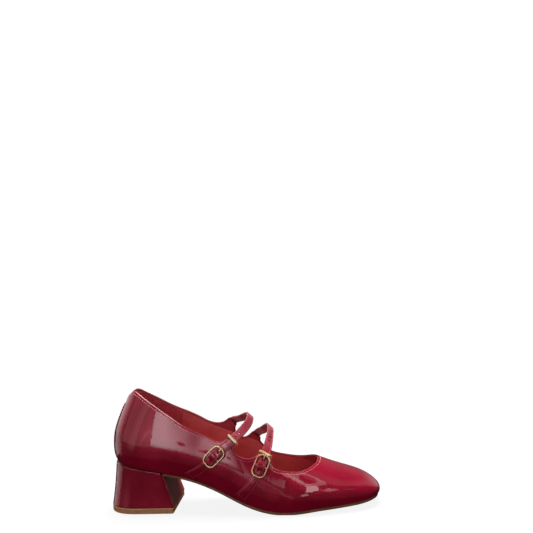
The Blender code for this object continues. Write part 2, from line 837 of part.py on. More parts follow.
# Middle of a buckle or keeper and the point that the strap runs towards, seen from the outer
# side.
Fitting = namedtuple("Fitting", "x z aim_x aim_z")
BUCKLES = {
    "rear": Fitting(98.2, 51.2, 105.0, 57.4),
    "front": Fitting(139.6, 42.6, 143.2, 50.2),
}
KEEPERS = {
    "rear": Fitting(115.1, 65.0, 118.2, 67.7),
    "front": Fitting(143.4, 51.7, 145.4, 55.2),
}
FRAME_LENGTH = 20.5
FRAME_WIDTH = 13.0
FRAME_CORNER = 4.6
FRAME_WIRE = 1.3
FRAME_HEIGHT = 2.9           # middle of the frame's wire above the upper
BAR_WIRE = 1.2
BAR_HEIGHT = 2.2
PRONG_WIRE = 1.0
PRONG_CLEARANCE = 0.28
PRONG_HOLE = 5.6             # distance of the hole in use from the centre bar
HOLE_SIZE = 2.0
HOLE_IN_USE_SIZE = 2.6
SPARE_HOLES = (5.0, 35.0, 40.0)  # distances of the other holes from the strap's tip
KEEPER_WIDTH = 12.8
KEEPER_WIRE = 1.6
KEEPER_CORNER = 1.6
KEEPER_CLEARANCE = 0.5
ARC_STEPS = 6
HOLE_SEGMENTS = 14
PUNCH_DEPTH = 6.0


def fitting_frame(fitting):
    """Origin on the upper, long direction, cross direction and normal of a fitting."""
    origin, normal = upper_frame(LATERAL, fitting.x, fitting.z, 0.0)
    aim, _ = upper_frame(LATERAL, fitting.aim_x, fitting.aim_z, 0.0)
    along = aim - origin
    along = along - normal * np.dot(along, normal)
    along = along / np.linalg.norm(along)
    return origin, along, np.cross(along, normal), normal


def rounded_rectangle(length, width, corner):
    """Closed outline of a rectangle with round corners, as pairs of numbers."""
    outline = []
    middles = ((1, 1, 0), (-1, 1, 90), (-1, -1, 180), (1, -1, 270))
    for side_u, side_v, start in middles:
        for step in range(ARC_STEPS + 1):
            angle = math.radians(start + 90 * step / ARC_STEPS)
            u = side_u * (length / 2 - corner) + corner * math.cos(angle)
            v = side_v * (width / 2 - corner) + corner * math.sin(angle)
            outline.append((u, v))
    return outline


def add_buckle(place, finish, group, guides):
    """Wire frame with a centre bar."""
    origin, along, across, normal = fitting_frame(BUCKLES[place])
    middle = origin + normal * FRAME_HEIGHT
    loop = rounded_rectangle(FRAME_LENGTH - FRAME_WIRE, FRAME_WIDTH - FRAME_WIRE, FRAME_CORNER)
    route = [middle + along * u + across * v for u, v in loop]
    frame = wire("buckle_" + place, route, FRAME_WIRE, finish, group, closed=True)
    reach = (FRAME_WIDTH - FRAME_WIRE) / 2
    low = origin + normal * BAR_HEIGHT
    ends = [low - across * reach, low + across * reach]
    bar = wire("bar_" + place, ends, BAR_WIRE, finish, guides)
    as_cutter(bar)
    boolean(frame, bar, "UNION")
    return frame


def add_prong(place, finish, group):
    """Pin hooked under the centre bar, up through the strap's hole and over the frame."""
    origin, along, across, normal = fitting_frame(BUCKLES[place])
    hook = (BAR_WIRE + PRONG_WIRE) / 2 + PRONG_CLEARANCE
    rest = FRAME_HEIGHT + (FRAME_WIRE + PRONG_WIRE) / 2 + PRONG_CLEARANCE
    reach = (FRAME_LENGTH - FRAME_WIRE) / 2
    profile = []
    for angle in (-110, -80, -50, -20):
        turn = math.radians(angle)
        profile.append((hook * math.cos(turn), BAR_HEIGHT + hook * math.sin(turn)))
    profile += [
        (PRONG_HOLE - 2.0, GAP + CHAPE_THICKNESS),
        (PRONG_HOLE - 1.0, GAP + CHAPE_THICKNESS + 0.1),
        (PRONG_HOLE, BAR_HEIGHT + 0.3),
        (PRONG_HOLE + 0.9, rest - 0.8),
        (PRONG_HOLE + 1.7, rest - 0.1),
        (reach, rest),
        (reach + 0.9, rest - 0.1),
    ]
    route = [origin + along * u + normal * height for u, height in profile]
    return wire("prong_" + place, route, PRONG_WIRE, finish, group)


def punch(name, target, middle, normal, size, guides):
    """Round hole through an object."""
    tool = bpy.data.meshes.new(name)
    built = bmesh.new()
    bmesh.ops.create_cone(built, cap_ends=True, segments=HOLE_SEGMENTS, depth=PUNCH_DEPTH * MM,
                          radius1=size / 2 * MM, radius2=size / 2 * MM)
    built.to_mesh(tool)
    built.free()
    cutter = bpy.data.objects.new(name, tool)
    cutter.rotation_euler = Vector(normal).to_track_quat("Z", "Y").to_euler()
    cutter.location = in_metres(middle)
    guides.objects.link(cutter)
    as_cutter(cutter)
    boolean(target, cutter, "DIFFERENCE")


def punch_holes(place, strap, guides):
    """The hole in use, over the prong, and the spare ones."""
    origin, along, _, normal = fitting_frame(BUCKLES[place])
    in_use = origin + along * PRONG_HOLE + normal * BAR_HEIGHT
    punch("hole_in_use_" + place, strap, in_use, normal, HOLE_IN_USE_SIZE, guides)
    frames = ribbon_frames(strap_rows(place))[::-1]
    travel = STRAP_WIDTH / 2
    spare = list(SPARE_HOLES)
    for near, far in zip(frames, frames[1:]):
        step = np.linalg.norm(far[0] - near[0])
        if spare and travel + step > spare[0]:
            middle = near[0] + (far[0] - near[0]) * (spare.pop(0) - travel) / step
            name = "hole_%s_%d" % (place, len(spare))
            punch(name, strap, middle, near[1], HOLE_SIZE, guides)
        travel += step


def add_keeper(place, finish, group):
    """Loop round the strap and the tab under it."""
    origin, along, across, normal = fitting_frame(KEEPERS[place])
    inner = UPPER_WALL + GAP + STRAP_THICKNESS + 2 * KEEPER_CLEARANCE
    middle = origin + normal * (GAP + STRAP_THICKNESS - UPPER_WALL) / 2
    loop = rounded_rectangle(KEEPER_WIDTH - KEEPER_WIRE, inner + KEEPER_WIRE, KEEPER_CORNER)
    route = [middle + across * u + normal * v for u, v in loop]
    return wire("keeper_" + place, route, KEEPER_WIRE, finish, group, closed=True)


# ---------------------------------------------------------------- assembly

def main():
    """Build the shoe."""
    clear_scene()
    shoe = collection(ASSEMBLY)
    guides = collection(ASSEMBLY + "_cutters")
    patent = material("patent_leather", (0.30, 0.004, 0.016), 0.10, coat=1.0)
    sole_leather = material("sole_leather", (0.07, 0.03, 0.018), 0.5)
    lining = material("lining_leather", (0.40, 0.035, 0.03), 0.6)
    lift_rubber = material("top_lift_rubber", (0.22, 0.10, 0.04), 0.6)
    gold = material("pale_gold", (0.78, 0.58, 0.30), 0.22, metallic=1.0)
    add_upper(patent, shoe)
    add_outsole(sole_leather, shoe)
    add_insole(lining, shoe)
    add_heel(patent, shoe)
    add_top_lift(lift_rubber, shoe)
    for place in ("rear", "front"):
        strap = ribbon("strap_" + place, strap_rows(place), STRAP_WIDTH, STRAP_WIDTH,
                       STRAP_THICKNESS, True, patent, shoe)
        punch_holes(place, strap, guides)
        ribbon("chape_" + place, chape_rows(place), CHAPE_WIDTH, CHAPE_END_WIDTH[place],
               CHAPE_THICKNESS, False, patent, shoe)
        add_buckle(place, gold, shoe, guides)
        add_prong(place, gold, shoe)
        add_keeper(place, gold, shoe)


main()
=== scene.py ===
"""Looks of a women's double-strap Mary Jane pump in cherry-red patent leather, right shoe.

Tables and dimensions are in millimetres in the shoemaker's frame: x runs from the back of the
heel to the toe, y from the outer (lateral, negative) to the inner (medial) side, and z up from
the floor.  Meshes, finishes and the stage are in metres about the middle of the shoe.
"""
import json
import math
from collections import namedtuple

import bmesh
import bpy
import numpy as np
from mathutils import Matrix, Vector, geometry, kdtree

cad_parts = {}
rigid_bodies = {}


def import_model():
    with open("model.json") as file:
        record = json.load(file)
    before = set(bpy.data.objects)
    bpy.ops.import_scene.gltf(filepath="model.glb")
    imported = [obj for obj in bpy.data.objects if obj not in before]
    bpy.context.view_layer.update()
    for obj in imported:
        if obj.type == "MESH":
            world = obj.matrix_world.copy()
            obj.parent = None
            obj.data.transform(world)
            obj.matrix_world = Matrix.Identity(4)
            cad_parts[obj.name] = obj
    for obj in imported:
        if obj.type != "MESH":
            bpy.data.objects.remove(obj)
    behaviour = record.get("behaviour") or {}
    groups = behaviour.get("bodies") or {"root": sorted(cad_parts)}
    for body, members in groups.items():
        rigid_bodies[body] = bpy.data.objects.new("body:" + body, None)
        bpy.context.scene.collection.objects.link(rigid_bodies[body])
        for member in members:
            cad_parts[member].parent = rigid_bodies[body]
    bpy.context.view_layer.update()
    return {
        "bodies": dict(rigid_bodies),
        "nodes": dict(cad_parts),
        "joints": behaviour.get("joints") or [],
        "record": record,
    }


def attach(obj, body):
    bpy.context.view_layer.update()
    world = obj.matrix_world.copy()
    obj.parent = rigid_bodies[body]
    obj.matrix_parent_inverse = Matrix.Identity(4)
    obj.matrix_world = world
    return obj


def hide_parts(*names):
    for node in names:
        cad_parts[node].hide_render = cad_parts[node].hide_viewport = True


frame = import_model()

MM = 0.001
LATERAL = -1
MEDIAL = 1

# Overall sizes.
BACK_X = 5.3                 # back of the seat line
TOE_X = 243.0                # front of the toe
CENTRE = (121.1, -0.3, 0.0)  # middle of the whole shoe, on the floor
GAP = 0.3                    # clearance between neighbouring pieces
TOUCH_GAP = 0.05             # between pieces that look as if they touch
UPPER_WALL = 1.8             # leather and lining together
SOLE_THICKNESS = 2.8
SHANK_THICKNESS = 2.2
INSOLE_THICKNESS = 2.0
LIFT_HEIGHT = 5.0

# Last: one row for each section across the shoe.
#   sole     height of the feather edge above the floor
#   lateral  half width at the feather edge on the outer side
#   medial   half width at the feather edge on the inner side
#   top      height of the ridge of the last
#   square   exponent of the section's curve, 2 for an ellipse and more for a squarer one
#   swell    how far the wall stands out past the feather edge
#   belly    height above the feather edge where the wall stands out most
Section = namedtuple("Section", "x sole lateral medial top square swell belly")
LAST = (
    Section(0, 43.6, 27.0, 27.0, 130.0, 2.2, 3.4, 14.0),
    Section(22, 41.2, 27.0, 27.0, 129.0, 2.2, 3.4, 14.0),
    Section(45, 36.9, 26.8, 26.0, 125.0, 2.3, 3.8, 15.0),
    Section(65, 32.6, 25.4, 22.8, 117.0, 2.4, 4.6, 16.0),
    Section(85, 26.3, 25.2, 21.0, 107.0, 2.5, 5.0, 17.0),
    Section(105, 17.9, 28.0, 23.5, 95.0, 2.5, 4.6, 18.0),
    Section(125, 9.4, 33.2, 29.5, 81.5, 2.4, 3.4, 17.0),
    Section(145, 4.0, 36.8, 35.0, 67.5, 2.3, 2.4, 14.0),
    Section(160, 2.8, 38.0, 37.2, 56.5, 2.3, 2.0, 12.0),
    Section(175, 3.7, 37.4, 37.4, 47.0, 2.3, 1.8, 10.0),
    Section(188, 5.1, 35.6, 36.6, 40.6, 2.35, 1.6, 8.5),
    Section(200, 5.9, 33.0, 35.0, 35.7, 2.4, 1.4, 7.5),
    Section(215, 6.8, 28.8, 31.9, 30.6, 2.5, 1.2, 6.0),
    Section(230, 7.9, 23.8, 27.6, 25.6, 2.6, 1.0, 5.0),
    Section(243, 9.6, 19.4, 23.2, 20.2, 2.6, 1.0, 4.5),
)
TOE_START = 203.0            # where the toe begins to close
TOE_LENGTH_POWER = 5.0       # how late the toe closes along its length
TOE_CORNER_POWER = 2.5       # how square the toe's corners are
TOE_CENTRE_Y = 2.5           # how far the ridge drifts inwards by the toe
TOE_DRIFT_X = 150.0
HEEL_START = 34.0            # where the heel begins to close
HEEL_POWER = 2.15
TURN_SCALE = 0.75            # millimetres of sheet for each degree round a section

# Forward lean of the back of the upper, by height above the feather edge.
LEAN_HEIGHTS = (0, 18, 26, 34, 42, 50, 58, 66)
LEAN_FORWARD = (0.0, 0.0, 0.4, 2.1, 4.7, 7.9, 11.5, 15.2)
LEAN_REACH = 100.0           # the lean has faded out this far along


def spline(xs, ys):
    """A natural cubic spline through the points, as a function of numpy arrays."""
    xs, ys = np.array(xs, float), np.array(ys, float)
    steps = np.diff(xs)
    slopes = np.diff(ys) / steps
    matrix = np.eye(len(xs))
    right = np.zeros(len(xs))
    for i in range(1, len(xs) - 1):
        matrix[i, i - 1:i + 2] = (steps[i - 1], 2 * (steps[i - 1] + steps[i]), steps[i])
        right[i] = 6 * (slopes[i] - slopes[i - 1])
    bends = np.linalg.solve(matrix, right)

    def value(x):
        x = np.clip(x, xs[0], xs[-1])
        i = np.clip(np.searchsorted(xs, x) - 1, 0, len(xs) - 2)
        step, after, before = steps[i], x - xs[i], xs[i + 1] - x
        cubic = (bends[i] * before ** 3 + bends[i + 1] * after ** 3) / (6 * step)
        low = (ys[i] / step - bends[i] * step / 6) * before
        return cubic + low + (ys[i + 1] / step - bends[i + 1] * step / 6) * after

    return value


LAST_AT = {name: spline([row.x for row in LAST], [getattr(row, name) for row in LAST])
           for name in Section._fields[1:]}
LEAN_AT = spline(LEAN_HEIGHTS, LEAN_FORWARD)


# ---------------------------------------------------------------- small helpers

def lerp_at(a, b, start, end, t):
    """The value at t of the straight line that is a at start and b at end."""
    return (a * (end - t) + b * (t - start)) / (end - start)


def share_of(value, start, end):
    """How far a value is on the way from start to end, held between 0 and 1."""
    return np.clip((value - start) / (end - start), 0, 1)


def steps_between(start, end, count):
    """The inner places that divide a straight line into count steps."""
    return [lerp_at(start, end, 0, count, i) for i in range(1, count)]


def bisect(low, high, below):
    """The number between low and high up to which below holds."""
    for _ in range(40):
        middle = (low + high) / 2
        low, high = (middle, high) if below(middle) else (low, middle)
    return low


def unit(vector):
    """A vector of length 1."""
    return vector / np.linalg.norm(vector)


def cos_sin(angle):
    """Cosine and sine of an angle in degrees."""
    turn = math.radians(angle)
    return math.cos(turn), math.sin(turn)


def smooth_path(points, spacing):
    """Centripetal Catmull-Rom curve through the points, with a point about every spacing."""
    points = [np.asarray(point, float) for point in points]
    if len(points) < 3:
        points = [points[0], (points[0] + points[-1]) / 2, points[-1]]
    padded = [2 * points[0] - points[1]] + points + [2 * points[-1] - points[-2]]
    path = [points[0]]
    for a, b, c, d in zip(padded, padded[1:], padded[2:], padded[3:]):
        knots = [0.0]
        for start, end in ((a, b), (b, c), (c, d)):
            knots.append(knots[-1] + math.sqrt(np.linalg.norm(end - start)))
        count = max(1, int(round(np.linalg.norm(c - b) / spacing)))
        for i in range(1, count + 1):
            t = knots[1] + (knots[2] - knots[1]) * i / count
            near = [lerp_at(p, q, *knots[k:k + 2], t)
                    for k, (p, q) in enumerate(((a, b), (b, c), (c, d)))]
            wide = [lerp_at(near[k], near[k + 1], knots[k], knots[k + 2], t) for k in (0, 1)]
            path.append(lerp_at(*wide, *knots[1:3], t))
    return path


def distances(points, line):
    """Distance of each point from the nearest point of a line."""
    tree = kdtree.KDTree(len(line))
    for i, place in enumerate(line):
        tree.insert(place, i)
    tree.balance()
    return np.array([tree.find(point)[2] for point in points])


# ---------------------------------------------------------------- the last

HEEL_SPAN = HEEL_START - BACK_X
TOE_SPAN = TOE_X - TOE_START
HEEL_RUN = HEEL_SPAN * HEEL_POWER
TOE_RUN = TOE_SPAN * TOE_CORNER_POWER
RUN_END = HEEL_RUN + (TOE_START - HEEL_START) + TOE_RUN
BOTTOM = 90 * TURN_SCALE     # feather edge on the flattened sheet
SLOPE_STEP = 0.05            # over which slopes of the last are taken
TIP_NORMAL = (1.0, 0.0, 0.2) # where the toe closes to a point


def station_of(run):
    """Section position x for a distance along the sheet, slow near the back and the toe."""
    heel = share_of(run, 0, HEEL_RUN)
    toe = np.clip((run - HEEL_RUN - TOE_START + HEEL_START) / TOE_RUN, 0, 1)
    middle = np.clip(run - HEEL_RUN, 0, TOE_START - HEEL_START)
    return (BACK_X + HEEL_SPAN * heel ** HEEL_POWER + middle
            + TOE_SPAN * (1 - (1 - toe) ** TOE_CORNER_POWER))


def run_of(station):
    """The inverse of station_of."""
    heel = share_of(station, BACK_X, HEEL_START)
    toe = share_of(station, TOE_START, TOE_X)
    middle = np.clip(station - HEEL_START, 0, TOE_START - HEEL_START)
    return (HEEL_RUN * heel ** (1 / HEEL_POWER) + middle
            + TOE_RUN * (1 - (1 - toe) ** (1 / TOE_CORNER_POWER)))


def closing(station):
    """Factors on the width and on the height of a section, 1 except near the two ends."""
    heel_left = np.clip(1 - share_of(station, HEEL_START, BACK_X) ** HEEL_POWER, 0, 1)
    toe_left = np.clip(1 - share_of(station, TOE_START, TOE_X) ** TOE_LENGTH_POWER, 0, 1)
    height = toe_left ** (1 / TOE_CORNER_POWER)
    return heel_left ** (1 / HEEL_POWER) * height, height


def ridge_y(station):
    """Sideways place of the ridge, which drifts inwards towards the toe."""
    share = share_of(station, TOE_DRIFT_X, TOE_X)
    return TOE_CENTRE_Y * share * share * (3 - 2 * share)


def last_at(station, turn):
    """Point of the last at a section and a turn: -90 outer edge, 0 ridge, 90 inner edge."""
    turn = np.radians(turn)
    power = 2 / LAST_AT["square"](station)
    width, height = closing(station)
    across = np.abs(np.sin(turn)) ** power
    up = np.clip(np.abs(np.cos(turn)), 0, 1) ** power
    sole = LAST_AT["sole"](station)
    rise = (LAST_AT["top"](station) - sole) * height * up
    side = np.sign(turn)
    half = np.where(side < 0, LAST_AT["lateral"](station), LAST_AT["medial"](station))
    belly = LAST_AT["belly"](station)
    puff = LAST_AT["swell"](station) * rise / belly * np.exp(1 - rise / belly)
    centre = ridge_y(station)
    y = centre + (side * half - centre) * width * across * (1 + puff / half)
    heel_out = np.minimum(station - HEEL_START, 0) / HEEL_SPAN
    toe_out = np.maximum(station - TOE_START, 0) / TOE_SPAN
    fade = 0.5 + 0.5 * np.cos(np.pi * np.clip((station - BACK_X) / LEAN_REACH, 0, 1))
    x = station + puff * (heel_out + toe_out) + fade * LEAN_AT(rise)
    return np.stack([x, y, sole + rise], axis=-1)


def turn_at_height(station, side, z):
    """Turn at which a section reaches height z."""
    sole = LAST_AT["sole"](station)
    height = (LAST_AT["top"](station) - sole) * closing(station)[1]
    share = np.clip((z - sole) / height, 0, 1)
    return side * np.degrees(np.arccos(share ** (LAST_AT["square"](station) / 2)))


def from_side(side, x, z):
    """Section and turn of the point that has this x and z on one side of the last."""
    station = x
    for _ in range(60):
        turn = turn_at_height(station, side, z)
        station = np.clip(station + 0.7 * (x - last_at(station, turn)[0]), BACK_X, TOE_X)
    return station, turn_at_height(station, side, z)


def from_above(x, y):
    """Section and turn of the upper point that has this x and y in plan."""
    centre = ridge_y(x)
    side = LATERAL if y < centre else MEDIAL
    turn = bisect(0.0, 90.0,
                  lambda turn: abs(last_at(x, side * turn)[1] - centre) < abs(y - centre))
    return x, side * turn


def upper_frame(side, x, z, height):
    """Point at a height above the upper's side at x and z, and the normal there."""
    station, turn = from_side(side, x, z)
    step = SLOPE_STEP
    ahead = last_at(station + step, turn) - last_at(station - step, turn)
    normal = unit(np.cross(ahead, last_at(station, turn + step) - last_at(station, turn - step)))
    return last_at(station, turn) + normal * height, normal


def flat(station, turn):
    """Place on the flattened sheet of the last."""
    return np.array((float(run_of(station)), turn * TURN_SCALE))


def surface(places):
    """Points and outward normals of the last for places on the flattened sheet."""
    run, turn = places[:, 0], places[:, 1] / TURN_SCALE
    station = station_of(run)
    ahead = (last_at(station_of(np.clip(run + SLOPE_STEP, 0, RUN_END)), turn)
             - last_at(station_of(np.clip(run - SLOPE_STEP, 0, RUN_END)), turn))
    around = (last_at(station, np.clip(turn + SLOPE_STEP, -90, 90))
              - last_at(station, np.clip(turn - SLOPE_STEP, -90, 90)))
    normals = np.cross(ahead, around)
    normals[run < 1e-6, 1] = 0.0
    normals[np.linalg.norm(normals, axis=1) < 1e-9] = TIP_NORMAL
    return last_at(station, turn), normals / np.linalg.norm(normals, axis=1)[:, None]


def nearest(places, targets):
    """Places on the flattened sheet nearest to target points, from a first guess."""
    places = np.array(places)
    for _ in range(5):
        columns = []
        for step in ((SLOPE_STEP, 0.0), (0.0, SLOPE_STEP)):
            ahead, behind = places + step, places - step
            behind[:, 0] = np.maximum(behind[:, 0], 0.0)
            size = np.linalg.norm(ahead - behind, axis=1)[:, None]
            columns.append((surface(ahead)[0] - surface(behind)[0]) / size)
        off = (targets - surface(places)[0])[:, :, None]
        move = np.linalg.pinv(np.stack(columns, axis=-1)) @ off
        places += np.clip(move[:, :, 0], -3.0, 3.0)
        places[:, 0] = np.clip(places[:, 0], 0.0, RUN_END)
    return places


# ---------------------------------------------------------------- sheets

# Topline of the upper seen from each side, from the back to the throat.  The edge turns a
# corner at the end of each stretch; the last one runs on into the throat.
Edge = namedtuple("Edge", "x z")
TOPLINE = {
    LATERAL: (
        (Edge(15.8, 101.0), Edge(16.6, 101.8), Edge(19.0, 104.4), Edge(22.4, 106.9),
         Edge(25.8, 107.7), Edge(29.6, 106.0), Edge(35.4, 102.5), Edge(41.5, 98.4),
         Edge(50.6, 91.7), Edge(59.5, 85.4), Edge(68.4, 79.1), Edge(76.9, 74.4),
         Edge(85.8, 70.3), Edge(94.5, 66.3), Edge(101.0, 63.6), Edge(106.4, 63.9),
         Edge(110.8, 66.6), Edge(113.7, 69.5)),
        (Edge(119.3, 63.4),),
        (Edge(114.7, 59.2),),
        (Edge(115.2, 55.4), Edge(117.6, 52.7), Edge(121.5, 50.5), Edge(126.8, 49.0),
         Edge(131.6, 49.3), Edge(135.7, 50.8), Edge(138.9, 52.9), Edge(141.0, 55.2)),
        (Edge(147.7, 51.6),),
        (Edge(146.9, 47.5), Edge(148.4, 43.6), Edge(151.6, 40.0)),
    ),
    MEDIAL: (
        (Edge(15.8, 101.0), Edge(16.6, 101.9), Edge(18.9, 104.7), Edge(22.0, 106.4),
         Edge(25.0, 104.9), Edge(28.2, 102.2), Edge(32.8, 99.0), Edge(40.7, 94.2),
         Edge(50.1, 89.0), Edge(59.8, 84.8), Edge(69.1, 81.3), Edge(79.0, 76.6),
         Edge(85.0, 73.2), Edge(90.9, 70.9), Edge(96.0, 70.2), Edge(101.4, 71.3),
         Edge(107.0, 75.0)),
        (Edge(112.8, 68.6),),
        (Edge(111.2, 65.4), Edge(111.4, 60.6), Edge(114.2, 56.4), Edge(118.4, 54.8),
         Edge(122.6, 56.0), Edge(128.0, 60.4)),
        (Edge(134.2, 54.0),),
        (Edge(133.9, 50.4), Edge(137.6, 45.2), Edge(143.4, 39.8)),
    ),
}
# Throat of the vamp in plan, half of a superellipse.
THROAT_X = 150.0
THROAT_LENGTH = 39.0
THROAT_HALF_WIDTH = 32.5
THROAT_POWER = 2.6
THROAT_ANGLES = {LATERAL: (30, 45, 60, 75, 90), MEDIAL: (20, 40, 60, 75, 90)}
FINE = 1.3                   # spacing of the sheets' points
BORDER_CLEAR = 0.45          # free strip inside a sheet's border, in spacings
SHELL_STEPS = 5              # rows round a shell's rim


def topline(side, spacing):
    """Edge of the opening on the flattened sheet, from the back to the middle of the throat."""
    edge = []
    stretch = []
    for rows in TOPLINE[side]:
        if stretch:
            edge += smooth_path(stretch, spacing)[:-1]
        stretch = stretch[-1:] + [flat(*from_side(side, row.x, row.z)) for row in rows]
    for angle in THROAT_ANGLES[side]:
        across, along = (abs(reach) ** (2 / THROAT_POWER) for reach in cos_sin(angle))
        x = THROAT_X + THROAT_LENGTH * along
        stretch.append(flat(*from_above(x, ridge_y(x) + side * THROAT_HALF_WIDTH * across)))
    return edge + smooth_path(stretch, spacing)


def topline_loop(spacing):
    """Topline on the flattened sheet, from the back round by the inner side."""
    return topline(MEDIAL, spacing) + topline(LATERAL, spacing)[-2::-1]


def border_outline():
    """Closed outline of the upper on the flattened sheet."""
    loop = topline_loop(FINE / 2)
    corners = [np.array(corner) for corner in ((0.0, -BOTTOM), (RUN_END, -BOTTOM),
                                               (RUN_END, BOTTOM), (0.0, BOTTOM))]
    outline = []
    for start, end in zip(corners, corners[1:]):
        outline += [start, *steps_between(start, end, int(np.linalg.norm(end - start) / FINE))]
    rise = int((BOTTOM - abs(loop[0][1])) / FINE)
    outline += [corners[-1], *steps_between(corners[-1], loop[0], rise)] + loop
    return np.array(outline + steps_between(loop[-1], corners[0], rise))


def inside(outline, places):
    """Whether places are inside a closed outline."""
    odd = np.zeros(len(places), bool)
    x, y = places.T
    for (x0, y0), (x1, y1) in zip(outline, np.roll(outline, -1, axis=0)):
        if y0 != y1:
            crosses = (y0 > y) != (y1 > y)
            odd ^= crosses & (x < (x1 - x0) * (y - y0) / (y1 - y0) + x0)
    return odd


def fill_outline(outline):
    """Places and triangles that fill a closed outline on the flattened sheet."""
    ticks = [np.arange(low + FINE / 2, high, FINE)
             for low, high in zip(outline.min(axis=0), outline.max(axis=0))]
    grid = np.stack(np.meshgrid(*ticks, indexing="ij"), axis=-1).reshape(-1, 2)
    grid = grid[inside(outline, grid)]
    to_space = ((0, 0), (0, 1))
    gaps = distances(np.pad(grid, to_space), np.pad(outline, to_space))
    places = np.concatenate((outline, grid[gaps > BORDER_CLEAR * FINE]))
    edges = [(i, (i + 1) % len(outline)) for i in range(len(outline))]
    corners, _, faces, *_ = geometry.delaunay_2d_cdt([Vector(place) for place in places],
                                                     edges, [], 1, 1e-5)
    return np.array([tuple(corner) for corner in corners]), [tuple(face) for face in faces]


def merge(parts):
    """One set of points and faces from several."""
    points, faces, base = [], [], 0
    for some, made in parts:
        points.append(np.asarray(some))
        faces += [tuple(base + i for i in face) for face in made]
        base += len(some)
    return np.concatenate(points), faces


Sheet = namedtuple("Sheet", "points normals faces")


def sheet_over(outlines):
    """The last's surface inside closed outlines, with points that coincide welded."""
    places, faces = merge([fill_outline(outline) for outline in outlines])
    points, normals = surface(places)
    seen = {}
    first = [seen.setdefault(tuple(point), i) for i, point in enumerate(np.round(points, 3))]
    used = sorted(set(first))
    order = {old: new for new, old in enumerate(used)}
    welded = [tuple(order[first[i]] for i in face) for face in faces]
    kept = [face for face in welded if len(set(face)) == len(face)]
    return Sheet(points[used], normals[used], kept)


def shell(sheet, outer, inner, bulge):
    """Points and faces of a closed shell between two offsets of a sheet, its rim rounded.

    The third result gives the sheet's vertex for each point.
    """
    points, normals, faces = sheet
    count = len(points)
    sides = {side for face in faces for side in zip(face, face[1:] + face[:1])}
    border = sorted((a, b) for a, b in sides if (b, a) not in sides)
    away = np.zeros((count, 3))
    for a, b in border:
        out = np.cross(points[b] - points[a], normals[a] + normals[b])
        out = out / max(np.linalg.norm(out), 1e-9)
        away[a] += out
        away[b] += out
    rim = sorted({i for side in border for i in side})
    away = away[rim] / np.maximum(np.linalg.norm(away[rim], axis=1), 1e-9)[:, None]
    middle = points[rim] + normals[rim] * (outer + inner) / 2
    stack = [points + normals * outer, points + normals * inner]
    for step in range(1, SHELL_STEPS + 1):
        angle = math.pi * step / (SHELL_STEPS + 1)
        stack.append(middle + normals[rim] * (outer - inner) / 2 * math.cos(angle)
                     + away * bulge * math.sin(angle))
    rungs = {i: [i, *(2 * count + row * len(rim) + k for row in range(SHELL_STEPS)), i + count]
             for k, i in enumerate(rim)}
    made = faces + [tuple(count + i for i in reversed(face)) for face in faces]
    for a, b in border:
        for k in range(SHELL_STEPS + 1):
            made.append((rungs[b][k], rungs[a][k], rungs[a][k + 1], rungs[b][k + 1]))
    return np.concatenate(stack), made, np.array(list(range(count)) * 2 + rim * SHELL_STEPS)


# ---------------------------------------------------------------- meshes

SHARP_ANGLE = math.radians(40)
WIRE_SIDES = 20
END_ANGLES = (25, 50, 70, 84)    # of the rings that round a wire's end
EDGE_ARC = (0.0, 22.5, 45.0, 67.5, 90.0)
# Profile of one stitch: share of the half length, share of the lift and share of the radius.
STITCH_SHAPE = ((-1.0, -1.4, 0.55), (-0.82, -0.1, 0.9), (-0.4, 0.75, 1.0), (0.0, 1.0, 1.0),
                (0.4, 0.75, 1.0), (0.82, -0.1, 0.9), (1.0, -1.4, 0.55))
STITCH_SIDES = 6
THREAD_RADIUS = 0.22


def world(points):
    """Millimetres of the shoemaker's frame to metres about the middle of the shoe."""
    return (np.asarray(points, float) - CENTRE) * MM


def new_object(name, data):
    """An object in the scene."""
    made = bpy.data.objects.new(name, data)
    bpy.context.scene.collection.objects.link(made)
    return made


def piece(name, skin, finishes, stands_for=(), values=None, kinds=None):
    """A mesh piece that rides on the shoe; its skin is points in millimetres and faces."""
    points, faces = skin
    mesh = bpy.data.meshes.new(name)
    mesh.from_pydata([tuple(point) for point in world(points)], [], faces)
    for finish in finishes:
        mesh.materials.append(finish.material)
    if kinds is not None:
        mesh.polygons.foreach_set("material_index", kinds)
    for key, numbers in (values or {}).items():
        attribute = mesh.attributes.new(key, "FLOAT", "POINT")
        attribute.data.foreach_set("value", np.asarray(numbers, np.float32))
    mesh.shade_smooth()
    mesh.set_sharp_from_angle(angle=SHARP_ANGLE)
    mesh.update()
    made = new_object(name, mesh)
    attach(made, "root")
    if stands_for:
        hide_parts(*stands_for)
    return made


def loft(rings, closed=False, caps=True):
    """Points and faces of a skin over rings with the same number of points."""
    size = len(rings[0])
    faces = []
    for row in range(len(rings) if closed else len(rings) - 1):
        a, b = row * size, (row + 1) % len(rings) * size
        for i in range(size):
            j = (i + 1) % size
            faces.append((a + i, a + j, b + j, b + i))
    if caps and not closed:
        last = (len(rings) - 1) * size
        faces += [tuple(reversed(range(size))), tuple(range(last, last + size))]
    return np.concatenate([np.asarray(ring, float) for ring in rings]), faces


def ladder_caps(size, last):
    """Faces across the first and the last ring, whose two halves mirror each other."""
    faces = []
    for i in range(size // 2):
        around = (i, i + 1, (size - i - 1) % size, (size - i) % size)
        for base, way in ((0, 1), (last, -1)):
            corners = tuple(dict.fromkeys(base + corner for corner in around))[::way]
            if len(corners) > 2:
                faces.append(corners)
    return faces


def solid(rings, ladder=False):
    """A closed loft whose faces point outwards, its ends flat or closed by ladder caps."""
    points, faces = loft(rings, caps=not ladder)
    if ladder:
        faces += ladder_caps(len(rings[0]), len(points) - len(rings[0]))
    volume = 0.0
    for face in faces:
        for i in range(1, len(face) - 1):
            volume += np.dot(points[face[0]], np.cross(points[face[i]], points[face[i + 1]]))
    return points, faces if volume > 0 else [tuple(reversed(face)) for face in faces]


